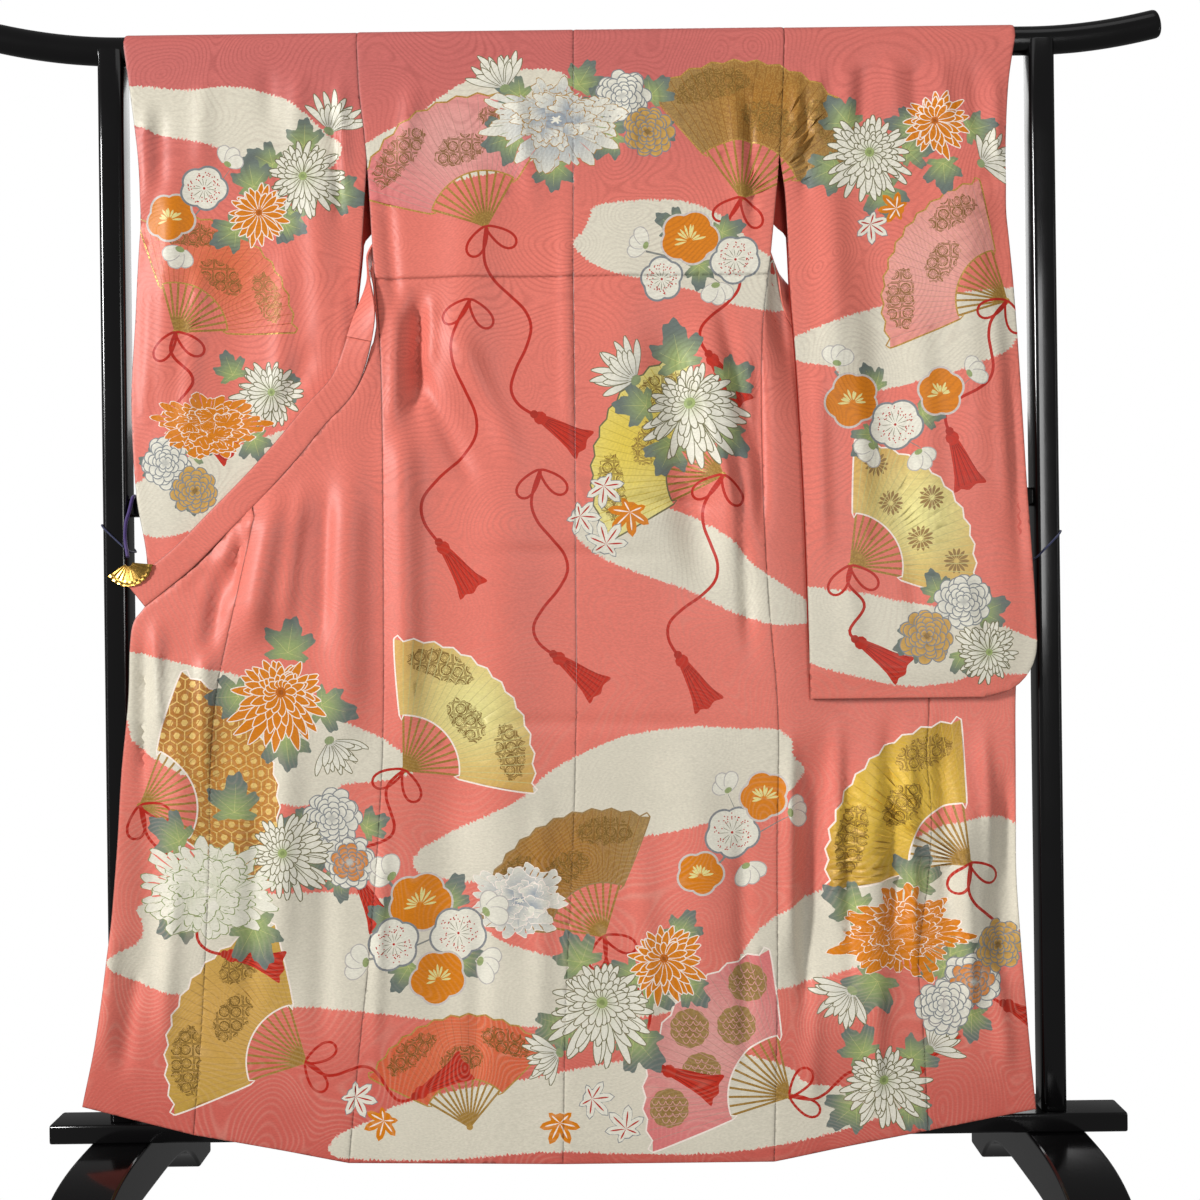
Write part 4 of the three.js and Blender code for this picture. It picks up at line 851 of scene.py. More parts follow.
def silk_material(name, figured):
    """Silk satin with a figured weave of wandering contour lines, coloured by the mesh's own dye and painted
    shade, with painted sheen on the figure.
    """
    made, tree, shader = material(name, Roughness=0.45, Sheen_Weight=0.06, Sheen_Roughness=0.4)
    shader.inputs["Specular IOR Level"].default_value = 0.27
    dye_and_shade = node(tree, "ShaderNodeAttribute", attribute_name="dye_and_shade").outputs["Color"]
    finish = node(tree, "ShaderNodeAttribute", attribute_name="finish").outputs["Color"]
    parts = node(tree, "ShaderNodeSeparateColor", {0: finish}).outputs
    foil, lace, thread = parts[0], parts[1], parts[2]
    place = node(tree, "ShaderNodeTexCoord").outputs["Object"]
    axes = node(tree, "ShaderNodeSeparateXYZ", {0: place}).outputs
    level = node(tree, "ShaderNodeCombineXYZ", {0: axes[0], 1: axes[2]}).outputs[0]
    # Whorls of fine lines, each about a centre of its own.
    wander = node(tree, "ShaderNodeTexNoise", {"Vector": level, "Scale": 5.0, "Detail": 1.0}).outputs["Color"]
    strayed = node(tree, "ShaderNodeVectorMath", {0: wander, 3: 0.16}, operation="SCALE").outputs[0]
    bent = node(tree, "ShaderNodeVectorMath", {0: level, 1: strayed}).outputs[0]
    whorls = node(tree, "ShaderNodeTexVoronoi", {"Vector": bent, "Scale": 6.0, "Smoothness": 0.35},
        feature="SMOOTH_F1", voronoi_dimensions="2D").outputs["Distance"]
    wave = maths(tree, "SINE", maths(tree, "MULTIPLY", whorls, 25.0 * 2 * math.pi))
    lines = maths(tree, "POWER", maths(tree, "MULTIPLY_ADD", wave, 0.5, 0.5), 2.6)
    patchy = node(tree, "ShaderNodeTexNoise", {"Vector": place, "Scale": 11.0, "Detail": 2.0}).outputs["Fac"]
    shown = maths(tree, "MULTIPLY", lines, maths(tree, "MULTIPLY_ADD", patchy, 2.2, -0.55, clamp=True))
    # The figure's lines are painted darker than the ground high on the garment and paler towards its foot:
    # painted shade and painted sheen on the woven figure.
    low = node(tree, "ShaderNodeMapRange", {0: axes[2], 1: 1.25, 2: 0.45, 3: 0.0, 4: 1.0}).outputs[0]
    figure_share = 1.0 if figured else 0.0
    green = node(tree, "ShaderNodeSeparateColor", {0: dye_and_shade}).outputs[1]
    coloured = maths(tree, "MULTIPLY_ADD", green, -0.95, 1.25, clamp=True)  # lines hardly show on white
    shown = maths(tree, "MULTIPLY", shown, coloured)
    fading = maths(tree, "MULTIPLY_ADD", low, -0.28 * figure_share, 0.36 * figure_share)
    dark = maths(tree, "MULTIPLY", shown, fading)
    # Painted sheen: the pale share lightens the lines towards a warm light colour.
    pale = maths(tree, "MULTIPLY", shown, maths(tree, "MULTIPLY", low, 0.15 * figure_share))
    deep = node(tree, "ShaderNodeRGB")
    deep.outputs[0].default_value = (0.5, 0.4, 0.4, 1)
    light = node(tree, "ShaderNodeRGB")
    light.outputs[0].default_value = (1.0, 0.66, 0.5, 1)
    woven = blend(tree, "MULTIPLY", dark, dye_and_shade, deep.outputs[0])
    woven = blend(tree, "SCREEN", pale, woven, light.outputs[0])
    grain_place = node(tree, "ShaderNodeMapping", {"Vector": place, "Scale": (0.55, 1.0, 1.3),
        "Rotation": (0.0, 0.35, 0.0)}).outputs[0]
    grain = {"Vector": grain_place, "Scale": 420.0, "Detail": 1.0}
    crepe = node(tree, "ShaderNodeTexNoise", grain).outputs["Fac"]
    shade = maths(tree, "MULTIPLY_ADD", patchy, 0.16, maths(tree, "MULTIPLY_ADD", crepe, 0.34, 0.75))
    grey = node(tree, "ShaderNodeCombineColor", {0: shade, 1: shade, 2: shade}).outputs[0]
    woven = blend(tree, "MULTIPLY", 1.0, woven, grey)
    # Gold lace printed on the fans: rosettes in rings, with a lattice between them.
    size = 54.0
    cells = node(tree, "ShaderNodeTexVoronoi", {"Vector": level, "Scale": size, "Randomness": 0.3},
        voronoi_dimensions="2D")
    heart = cells.outputs["Position"]
    centre = node(tree, "ShaderNodeVectorMath", {0: level, 1: heart}, operation="SUBTRACT")
    arm = node(tree, "ShaderNodeSeparateXYZ", {0: centre.outputs[0]}).outputs
    round_about = maths(tree, "ARCTAN2", arm[1], arm[0])
    rays = maths(tree, "GREATER_THAN", maths(tree, "SINE", maths(tree, "MULTIPLY", round_about, 12.0)), 0.1)
    out = cells.outputs["Distance"]
    near, far = maths(tree, "LESS_THAN", out, 0.3), maths(tree, "GREATER_THAN", out, 0.1)
    within = maths(tree, "MULTIPLY", near, far)
    ring = maths(tree, "COMPARE", out, 0.37, 0.055)
    rosette = maths(tree, "MAXIMUM", maths(tree, "MULTIPLY", rays, within), ring)
    mesh_lines = node(tree, "ShaderNodeTexVoronoi", {"Vector": level, "Scale": size, "Randomness": 0.3},
        feature="DISTANCE_TO_EDGE", voronoi_dimensions="2D").outputs["Distance"]
    lattice = maths(tree, "COMPARE", mesh_lines, 0.05, 0.035)
    figure = maths(tree, "MAXIMUM", rosette, lattice)
    gilt = maths(tree, "MULTIPLY", figure, lace)
    gold = node(tree, "ShaderNodeRGB")
    gold.outputs[0].default_value = (*colour(122, 92, 40), 1)
    woven = blend(tree, "MIX", maths(tree, "MULTIPLY", gilt, 0.88), woven, gold.outputs[0])
    # Gold dust on the fans and discs.
    dust = node(tree, "ShaderNodeTexNoise", {"Vector": place, "Scale": 420.0, "Detail": 1.0}).outputs["Fac"]
    grains = maths(tree, "MULTIPLY", maths(tree, "GREATER_THAN", dust, 0.53), foil)
    bright = node(tree, "ShaderNodeRGB")
    bright.outputs[0].default_value = (*colour(214, 174, 96), 1)
    woven = blend(tree, "MIX", maths(tree, "MULTIPLY", grains, 0.75), woven, bright.outputs[0])
    tree.links.new(woven, shader.inputs["Base Color"])
    metal = maths(tree, "MULTIPLY_ADD", grains, 0.45, maths(tree, "MULTIPLY", gilt, 0.3), clamp=True)
    tree.links.new(metal, shader.inputs["Metallic"])
    # Weave relief, and the raised threads of the embroidery.
    stitches = node(tree, "ShaderNodeTexWave", {"Vector": place, "Scale": 170.0, "Distortion": 4.0})
    relief = maths(tree, "MULTIPLY_ADD", lines, 0.3 * figure_share, maths(tree, "MULTIPLY", crepe, 0.5))
    sewn = maths(tree, "MULTIPLY", stitches.outputs["Fac"], maths(tree, "MULTIPLY", thread, 1.6))
    bump = node(tree, "ShaderNodeBump", {"Height": maths(tree, "ADD", relief, sewn), "Strength": 0.35,
        "Distance": 0.0006})
    tree.links.new(bump.outputs[0], shader.inputs["Normal"])
    return made


def lacquer_material():
    """Black urushi, polished, with a faint warm depth and a few dust marks."""
    made, tree, shader = material("black_lacquer", Base_Color=(0.003, 0.0028, 0.003, 1), Coat_Weight=0.12,
        Coat_Roughness=0.04)
    shader.inputs["Specular IOR Level"].default_value = 0.4
    place = node(tree, "ShaderNodeTexCoord").outputs["Object"]
    cloudy = node(tree, "ShaderNodeTexNoise", {"Vector": place, "Scale": 14.0, "Detail": 3.0}).outputs["Fac"]
    tree.links.new(maths(tree, "MULTIPLY_ADD", cloudy, 0.12, 0.1), shader.inputs["Roughness"])
    bump = node(tree, "ShaderNodeBump", {"Height": cloudy, "Strength": 0.05, "Distance": 0.0006})
    tree.links.new(bump.outputs[0], shader.inputs["Normal"])
    return made


def gilt_material():
    made, tree, shader = material("gilt_brass", Base_Color=(*colour(206, 164, 84), 1), Metallic=1.0)
    place = node(tree, "ShaderNodeTexCoord").outputs["Object"]
    worn = node(tree, "ShaderNodeTexNoise", {"Vector": place, "Scale": 260.0, "Detail": 3.0}).outputs["Fac"]
    tree.links.new(maths(tree, "MULTIPLY_ADD", worn, 0.25, 0.16), shader.inputs["Roughness"])
    bump = node(tree, "ShaderNodeBump", {"Height": worn, "Strength": 0.2, "Distance": 0.0003})
    tree.links.new(bump.outputs[0], shader.inputs["Normal"])
    return made


def cord_material(name, dark, light):
    """Plaited silk cord, its strands painted lighter on their ridges and darker in their grooves: painted
    highlight and shade.
    """
    made, tree, shader = material(name, Roughness=0.55, Sheen_Weight=0.3)
    turned = node(tree, "ShaderNodeMapping", {"Vector": node(tree, "ShaderNodeTexCoord").outputs["UV"],
        "Scale": (3.0, 1.0, 1.0)}).outputs[0]
    strands = node(tree, "ShaderNodeTexWave", {"Vector": turned, "Scale": 1.0}, bands_direction="DIAGONAL")
    # Painted highlight and shade: the colour follows the strands' height, lighter on ridges and darker in
    # grooves.
    tree.links.new(blend(tree, "MIX", strands.outputs["Fac"], dark, light), shader.inputs["Base Color"])
    height = strands.outputs["Fac"]
    bump = node(tree, "ShaderNodeBump", {"Height": height, "Strength": 0.6, "Distance": 0.0006})
    tree.links.new(bump.outputs[0], shader.inputs["Normal"])
    return made


SILK = silk_material("figured_silk", True)
LINING = silk_material("plain_lining_silk", False)
LACQUER = lacquer_material()
GILT = gilt_material()
VIOLET = cord_material("violet_cord", (*colour(34, 18, 70), 1), (*colour(84, 52, 140), 1))
NAVY = cord_material("navy_cord", (*colour(14, 18, 52), 1), (*colour(44, 52, 104), 1))

# ---- Cloth ---------------------------------------------------------------------------------------
LINING_WHITE = colour(226, 214, 196)
LINING_CORAL = colour(196, 84, 70)
# Dark red for painted shade: the coral lining as it looks in shadow inside the armholes.
ARMHOLE_SHADED_RED = colour(168, 44, 30)
STEINER = 9.0  # spacing of the points between the painted shapes
INNER_STEINER = 12.0
WRAP_TOP = BAR["z"] + WRAP_RUN * math.pi / 2
AROUND = [(r * math.cos(a), r * math.sin(a)) for r in (7, 14) for a in np.arange(8) * math.pi / 4] + [(0, 0)]


def ground(x, z):
    """The ground colour: the coral dye, rosier at the shoulders, with painted shade darkening it there (less
    towards the right) and at the foot.
    """
    top = (0.75 * smooth(z, 1450, 1760) * (1 - 0.5 * smooth(x, 100, 500)))[:, None]
    foot = (0.8 * (1 - smooth(z, 120, 420)))[:, None]
    return (CORAL * (1 - top) + CORAL_TOP_SHADED * top) * (1 - foot) + CORAL_FOOT_SHADED * foot


def hex_points(low, high, size):
    rows = np.arange(low[1], high[1], size * 0.87)
    cells = []
    for i, z in enumerate(rows):
        x = np.arange(low[0] + (i % 2) * size / 2, high[0], size)
        cells.append(np.column_stack((x, np.full(len(x), z))))
    return np.vstack(cells)


def inside_outline(points, outline):
    """Which points lie inside a closed outline."""
    x, z = points.T
    ax, az = outline.T
    bx, bz = np.roll(ax, -1), np.roll(az, -1)
    crossed = np.zeros(len(x), bool)
    for i in range(len(ax)):
        if az[i] == bz[i]:
            continue
        between = (az[i] > z) != (bz[i] > z)
        crossed ^= between & (x < (bx[i] - ax[i]) * (z - az[i]) / (bz[i] - az[i]) + ax[i])
    return crossed


def triangulate(points, outlines):
    got = geometry.delaunay_2d_cdt([Vector(p) for p in points.tolist()], [], outlines, 0, 1e-4, True)
    return np.array([tuple(v) for v in got[0]]), got[2], got[3], got[5]


def boundary(triangles):
    """The one loop of edges that belong to a single triangle, in order."""
    directed = {(t[i], t[(i + 1) % 3]) for t in triangles for i in range(3)}
    step = {a: b for a, b in directed if (b, a) not in directed}
    start = max(step, key=lambda k: step[k])
    loop = [start]
    while step[loop[-1]] != start and len(loop) <= len(step):
        loop.append(step[loop[-1]])
    return loop


class Shell:
    """One wall of cloth on a grid of its middle points, painted on its outer face."""

    def __init__(
        self, grid, face, folds=(), wraps=False, wall=WALL, tuck=False, lining=LINING_CORAL, kind="body"
    ):
        self.face, self.folds, self.wraps, self.wall, self.tuck = face, folds, wraps, wall, tuck
        self.kind = kind
        rows, columns = grid.shape[:2]
        corners = [(r * columns + c, r * columns + c + 1, (r + 1) * columns + c + 1, (r + 1) * columns + c)
            for r in range(rows - 1) for c in range(columns - 1)]
        self.tree = BVHTree.FromPolygons(grid.reshape(-1, 3).tolist(), corners)
        flat = grid[:, :, [0, 2]]
        left, right = flat[:, 0], flat[:, -1]
        if wraps:
            rise = np.linspace(WRAP_TOP - 0.15, BAR["z"], 8)[:-1]
            left = np.vstack((np.column_stack((np.full(7, left[0, 0]), rise)), left))
            right = np.vstack((np.column_stack((np.full(7, right[0, 0]), rise)), right))
        top = np.linspace(right[0], left[0], max(columns, 3))[1:-1]
        outline = np.vstack((left, flat[-1, 1:-1], right[::-1], top))
        keep = np.hypot(*(outline - np.roll(outline, 1, 0)).T) > 0.4
        outline = outline[keep]
        x, z = outline.T
        if np.sum(x * np.roll(z, -1) - np.roll(x, -1) * z) < 0:
            outline = outline[::-1]
        self.outline = outline
        sides = outline[outline[:, 1] < WRAP_TOP - 1] if wraps else outline
        self.near = kdtree.KDTree(len(sides))
        for i, (px, pz) in enumerate(sides):
            self.near.insert((px, 0, pz), i)
        self.near.balance()
        self.build(lining)

    def middle(self, x, z, around=((0, 0),)):
        """Depth of the middle of the cloth, with the lowest lift of its folds at the places around."""
        low = np.minimum(z, BAR["z"]) if self.wraps else z
        depth = np.empty(len(x))
        for i, (px, pz) in enumerate(zip(x.tolist(), low.tolist())):
            hit = self.tree.ray_cast(Vector((px, -500, pz)), Vector((0, 1, 0)))[0]
            if hit is None:
                hit = self.tree.find_nearest(Vector((px, -25, pz)))[0]
            depth[i] = hit.y
        fade = 1 - smooth(z, 1738, 1768) if self.wraps else 1.0
        rises = [sum(lift(folds, x + dx, z + dz) * share for folds, share in self.folds) for dx, dz in around]
        return depth + self.face * np.min(rises, axis=0) * fade

    def place(self, points, side):
        """Points of the outer (side 1) or inner (side -1) face at flat x, z."""
        x, z = points.T
        half = side * self.wall / 2
        depth = self.middle(x, z, ((0, 0),) if side > 0 else AROUND)
        if side > 0:
            away = np.array([self.near.find((px, 0, pz))[2] for px, pz in points.tolist()])
            half = half - 0.9 * np.exp(-((away / 1.7) ** 2))
            if self.tuck:
                half = half - 1.1 * np.exp(-(((z - TUCK_Z) / 1.8) ** 2)) + 0.7 * smooth(z, TUCK_Z, TUCK_Z + 3)
        y = depth + self.face * half
        if self.wraps:
            angle = np.clip((z - BAR["z"]) / WRAP_RUN, 0, math.pi / 2)
            over = z > BAR["z"]
            y = np.where(over, self.face * (WRAP["deep"] + half) * np.cos(angle), y)
            z = np.where(over, BAR["z"] + (WRAP["high"] + half) * np.sin(angle), z)
        return np.column_stack((x, y, z))

    def build(self, lining):
        low, high = self.outline.min(0), self.outline.max(0)
        shapes = [d for d in DRAWING if d["on"] in (self.kind, "both")]
        shapes = [d for d in shapes if (d["high"] > low).all() and (d["low"] < high).all()]
        number = {id(d): i + 1 for i, d in enumerate(shapes)}
        steiner = hex_points(low, high, STEINER)
        steiner = steiner[inside_outline(steiner, self.outline)]
        along = np.roll(self.outline, -1, 0) - np.roll(self.outline, 1, 0)
        along /= np.maximum(np.hypot(*along.T), 1e-6)[:, None]
        inward = np.column_stack((-along[:, 1], along[:, 0]))
        rolled = [self.outline + inward * d for d in (1.6, 4.0)]
        if self.tuck:
            span = np.arange(low[0], high[0], 6.0)
            for above in (-3.5, -1.6, 0.2, 1.6, 3.5):
                rolled.append(np.column_stack((span, np.full(len(span), TUCK_Z + above))))
        rolled = np.vstack(rolled)
        rolled = rolled[inside_outline(rolled, self.outline)]
        points, faces, start = [self.outline], [list(range(len(self.outline)))], len(self.outline)
        for d in shapes:
            points.append(d["outline"])
            faces.append(list(range(start, start + len(d["outline"]))))
            start += len(d["outline"])
        points += [steiner, rolled]
        flat, triangles, _, parents = triangulate(np.vstack(points), faces)
        kept, owner = [], []
        for triangle, over in zip(triangles, parents):
            if 0 not in over:
                continue
            best = 0
            for p in sorted(over, reverse=True):
                if p == 0:
                    break
                within = shapes[p - 1]["inside"]
                if not within or number.get(id(DRAWING[within - 1])) in over:
                    best = p
                    break
            kept.append(triangle)
            owner.append(best)
        used = sorted({i for t in kept for i in t})
        index = {old: new for new, old in enumerate(used)}
        kept = [tuple(index[i] for i in t) for t in kept]
        flat = flat[used]
        loop = boundary(kept)
        rim = flat[loop]
        inner = hex_points(low, high, INNER_STEINER)
        inner = inner[inside_outline(inner, rim)]
        near = kdtree.KDTree(len(rim))
        for i, (px, pz) in enumerate(rim):
            near.insert((px, 0, pz), i)
        near.balance()
        inner = np.array([p for p in inner.tolist() if near.find((p[0], 0, p[1]))[2] > 6]).reshape(-1, 2)
        around = [list(range(len(rim)))]
        back, back_triangles, origin, back_parents = triangulate(np.vstack((rim, inner)), around)
        moved = {old: new for new, olds in enumerate(origin) for old in olds}
        back_triangles = [t for t, over in zip(back_triangles, back_parents) if 0 in over]
        outer_places, inner_places = self.place(flat, 1), self.place(back, -1)
        shift = len(flat)
        turn = 1 if self.face < 0 else -1
        self.points = np.vstack((outer_places, inner_places)) / 1000
        front = [t[::turn] for t in kept]
        behind = [tuple(i + shift for i in t[::-turn]) for t in back_triangles]
        strips = []
        for i, a in enumerate(loop):
            j = (i + 1) % len(loop)
            c, d = moved[j] + shift, moved[i] + shift
            strips.append((a, d, c, loop[j]) if c != d else (a, d, loop[j]))
            if turn < 0:
                strips[-1] = strips[-1][::-1]
        self.faces = front + behind + strips
        self.slots = [0] * len(front) + [1] * len(behind) + [0] * len(strips)
        self.colours(flat, front, owner, shapes, back, behind, strips, lining, shift)

    def colours(self, flat, front, owner, shapes, back, behind, strips, lining, shift):
        """Dye with its painted shade, and finish, of every corner."""
        corners = np.array(front).reshape(-1)
        places = flat[corners]
        own = np.repeat(owner, 3)
        base = ground(*places.T)
        fill = np.array([CORAL] + [d["fill"] for d in shapes])[own]
        rim = np.array([CORAL] + [d["rim"] for d in shapes])[own]
        centre = np.array([(0, 0)] + [d["centre"] for d in shapes])[own]
        reach = np.array([1] + [d["reach"] for d in shapes], float)[own]
        share = smooth(np.hypot(*(places - centre).T) / np.maximum(reach, 1e-3), 0, 1)[:, None]
        dye_and_shade = np.where((own == 0)[:, None], base, fill * (1 - share) + rim * share)
        # Painted shade: the dye is darkened within about a millimetre of every edge, as the shade in the
        # seams and along the rims.
        edge_share = np.array([self.near.find((px, 0, pz))[2] for px, pz in flat.tolist()])[corners]
        dye_and_shade = dye_and_shade * (1 - 0.6 * np.exp(-((edge_share / 0.8) ** 2)))[:, None]
        # Painted shade along the sewn tuck: a narrow band about its line is darkened.
        if self.tuck:
            dye_and_shade = dye_and_shade * (1 - 0.45 * np.exp(-(((places[:, 1] - TUCK_Z) / 1.3) ** 2)))[:, None]
        finish = np.array([(0, 0, 0)] + [d["finish"] for d in shapes], float)[own]
        hidden = np.array([i - shift for t in behind for i in t], int)
        inner = lining(*back[hidden].T) if callable(lining) else np.tile(lining, (len(hidden), 1))
        # The rims between the two faces are painted dark, as painted shade in the seams and at the edges.
        edges = sum(len(s) for s in strips)
        self.dye_and_shade = np.vstack((dye_and_shade, inner, np.tile(0.6 * CORAL_FOOT_SHADED, (edges, 1))))
        self.finish = np.vstack((finish, np.zeros((len(inner) + edges, 3))))


def cloth(name, shells, nodes):
    """One sewn piece out of its shells, in place of its plain solid."""
    points, faces, slots, start = [], [], [], 0
    for shell in shells:
        points.append(shell.points)
        faces += [tuple(i + start for i in f) for f in shell.faces]
        slots += shell.slots
        start += len(shell.points)
    mesh = bpy.data.meshes.new(name)
    mesh.from_pydata(np.vstack(points).tolist(), [], faces)
    mesh.materials.append(SILK)
    mesh.materials.append(LINING)
    mesh.polygons.foreach_set("material_index", slots)
    for key in ("dye_and_shade", "finish"):
        values = np.vstack([getattr(shell, key) for shell in shells])
        layer = mesh.color_attributes.new(key, "FLOAT_COLOR", "CORNER")
        layer.data.foreach_set("color", np.column_stack((values, np.ones(len(values)))).reshape(-1))
    mesh.shade_smooth()
    mesh.set_sharp_from_angle(angle=math.radians(50))
    made = bpy.data.objects.new(name, mesh)
    scene.collection.objects.link(made)
    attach(made, "root")
    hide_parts(*nodes)
    return made


def back_grid(side):
    z = np.linspace(BAR["z"], side[-1][0], 260)
    a, b = seam(CENTRE_SEAM, np.maximum(z, CENTRE_SEAM[-1][0])), seam(side, z)
    a[:, 2] = np.linspace(BAR["z"], CENTRE_SEAM[-1][0], 260)
    return joined(a, b, 30)


def meet(points, collar, flat_from):
    """Draws an edge up against the collar that runs beside it."""
    edges = []
    for first, last, gap in ((6.0, flat_from, 2.2), (flat_from, collar[-1][0], 0.25)):
        edges += [(p.x, p.z, gap) for a, b, _ in ribbon_rows(collar, first, last, 200) for p in (a, b)]
    edges = np.array(edges)
    met = points.copy()
    for row in met:
        away = np.hypot(*(edges[:, :2] - row[[0, 2]]).T)
        i = int(np.argmin(away))
        share = 1 - float(smooth(away[i], 10, 16))
        if away[i] > edges[i, 2]:
            near = edges[i, :2] + (row[[0, 2]] - edges[i, :2]) / away[i] * edges[i, 2]
            row[[0, 2]] += (near - row[[0, 2]]) * share
    return met


def front_grid(front, side, collar, flat_from):
    """A spread front leaves the side seam at its depth and soon reaches the depth of its outer edge."""
    station = np.linspace(front[0][0], front[-1][0], 220)
    a, b = seam(side, station), meet(edge(front, station), collar, flat_from)
    fall = (a[:, 1] - b[:, 1])[:, None]
    return joined(a, b, 26, lambda u: -fall * (1 - u - (1 - smooth(u, 0, 0.5))))


def overlap_grid(overlap, front, collar, flat_from):
    station = np.linspace(overlap[0][0], overlap[-1][0], 260)
    a, b = (meet(edge(rows, station), collar, flat_from) for rows in (front, overlap))
    return joined(a, b, 22)


def layer_depth(sleeve, z, layer):
    return column(sleeve, 3, z) + layer * (column(sleeve, 4, z) + (WALL + SEAM_GAP) / 2)


def sleeve_grid(sleeve, layer, side):
    """One layer of a sleeve. Below the cuff its outer edge and its foot close against the other layer."""
    foot, corner = sleeve[-1][0], 80
    turning = np.linspace(0, 1, 14)[1:] * 1.57
    z = np.concatenate((np.linspace(BAR["z"], foot + corner, 130), foot + corner * np.cos(turning)))
    z[-1] = foot
    rounded = np.maximum(0, corner - (z - foot))
    cut = corner - np.sqrt(np.maximum(corner**2 - rounded**2, 0))
    at_side = z >= SHOULDER_Z if layer < 0 else smooth(z, 1476, 1500)  # sewn further down behind
    inner = column(sleeve, 1, z) * (1 - at_side) + column(side, 1, z) * at_side
    depth = layer_depth(sleeve, z, layer)
    outer = column(sleeve, 2, z) - math.copysign(1, sleeve[0][2]) * cut
    hollow = column(sleeve, 4, z)[:, None]
    outside, below = (1 - smooth(z, 1495, 1555))[:, None], (1 - smooth(z, foot, foot + 45))[:, None]

    def close(u):
        return -layer * hollow * np.maximum(below, outside * smooth(u, 0.82, 1))

    return joined(np.column_stack((inner, depth, z)), np.column_stack((outer, depth, z)), 30, close)


def shoulder_grid(side, sleeve, neck_x, collar):
    """Front of the body above the armhole, behind the bar, narrowing to where the collar crosses out."""
    z = np.linspace(BAR["z"], 1508, 60)
    by_height = [(row[3], *row[1:]) for row in collar[:5]]
    half = column(by_height, 4, z) / 2 + SEAM_GAP
    beside = z - 0.57 * half
    x = column(by_height, 1, beside) + math.copysign(0.81, neck_x) * half
    depth = layer_depth(sleeve, z, 1)
    y = np.minimum(column(by_height, 2, beside), depth + 2)
    top = smooth(z, 1735, BAR["z"])
    x, y = x * (1 - top) + neck_x * top, y * (1 - top) + WRAP["deep"] * top
    return joined(np.column_stack((column(side, 1, z), depth, z)), np.column_stack((x, y, z)), 16)


def neck_grid():
    share = np.linspace(0, 1, 8)
    z, run, y = BAR["z"] - 29 * share, 30 * share, 18.5 + 0.8 * share
    return joined(np.column_stack((-90 + run, y, z)), np.column_stack((82 - run, y, z)), 20)


def ribbon_rows(collar, first, last, count):
    """Edges of a collar ribbon between two stations, and the way its face looks."""
    end = collar[-1][0]
    to_neck = math.copysign(1, -collar[0][1])

    def middle(at):
        return Vector([float(column(collar, i, min(max(at, 0), end))) for i in (1, 2, 3)])

    rows = []
    for at in np.linspace(first, last, count):
        along = (middle(at + 0.25) - middle(at - 0.25)).normalized()
        flat = Vector((-along.z, 0, along.x)) * -to_neck
        flat.normalize()
        turn = math.radians(float(column(collar, 5, at)))
        across = flat * math.cos(turn) + along.cross(flat) * math.sin(turn)
        mitre = Vector((to_neck * 30, 0, -29)).normalized()
        across = mitre.lerp(across, min(1, at / 0.5)) if at < 0.5 else across
        through = across.cross(along).normalized()
        half = across * float(column(collar, 4, at)) / 2
        rows.append((middle(at) + half, middle(at) - half, through))
    return rows


def rings_to_faces(count, rings, closed=False):
    faces = [(r * count + i, r * count + (i + 1) % count, ((r + 1) % rings) * count + (i + 1) % count,
        ((r + 1) % rings) * count + i) for r in range(rings if closed else rings - 1) for i in range(count)]
    if not closed:
        faces += [tuple(range(count))[::-1], tuple(range((rings - 1) * count, rings * count))]
    return faces


class Strip:
    """A plain turned length of a ribbon, as a closed wall."""

    def __init__(self, rows, wall, dye_and_shade):
        across = 9
        rings = []
        for a, b, through in rows:
            u = np.linspace(0, 1, across)
            roll = 1 - 0.35 * np.exp(-(np.minimum(u, 1 - u) / 0.06) ** 2)
            spine = [np.array(a.lerp(b, t)) for t in u]
            push = np.array(through) * wall / 2
            near_side = [p + push * r for p, r in zip(spine, roll)]
            far_side = [p - push * r for p, r in zip(spine, roll)]
            rings.append(near_side + far_side[::-1])
        count = 2 * across
        self.points = np.array(rings).reshape(-1, 3) / 1000
        self.faces = rings_to_faces(count, len(rings))
        if volume(self.points, self.faces) < 0:
            self.faces = [f[::-1] for f in self.faces]
        self.slots = [0] * len(self.faces)
        corners = sum(len(f) for f in self.faces)
        self.dye_and_shade, self.finish = np.tile(dye_and_shade, (corners, 1)), np.zeros((corners, 3))


def volume(points, faces):
    total = 0.0
    for f in faces:
        for i in range(1, len(f) - 1):
            total += np.dot(points[f[0]], np.cross(points[f[i]], points[f[i + 1]]))
    return total / 6


def collar_shells(collar, flat_from):
    """A collar: a turned length out of the neck, then a flat painted one along the overlap."""
    rows = ribbon_rows(collar, flat_from, collar[-1][0], 150)
    grid = np.array([[np.array(a.lerp(b, t)) for t in np.linspace(0, 1, 9)] for a, b, _ in rows])
    turned = Strip(ribbon_rows(collar, 0, flat_from, 120), 4.0, CORAL)
    return [Shell(grid, -1, [], wall=4.0, lining=CORAL), turned]


def body_lining(x, z):
    """White silk above, and coral facing below."""
    low = (1 - smooth(z, 1020, 1030))[:, None]
    return LINING_WHITE * (1 - low) + LINING_CORAL * low


def sleeve_lining(x, z):
    """White inside, the coral lining painted dark red towards the armhole as painted shade, and coral towards
    the cuff.
    """
    inner = (1 - smooth(np.abs(x), 352, 372))[:, None]
    outer = smooth(np.abs(x), 610, 616)[:, None]
    base = LINING_WHITE * (1 - outer) + LINING_CORAL * outer
    return base * (1 - inner) + ARMHOLE_SHADED_RED * inner


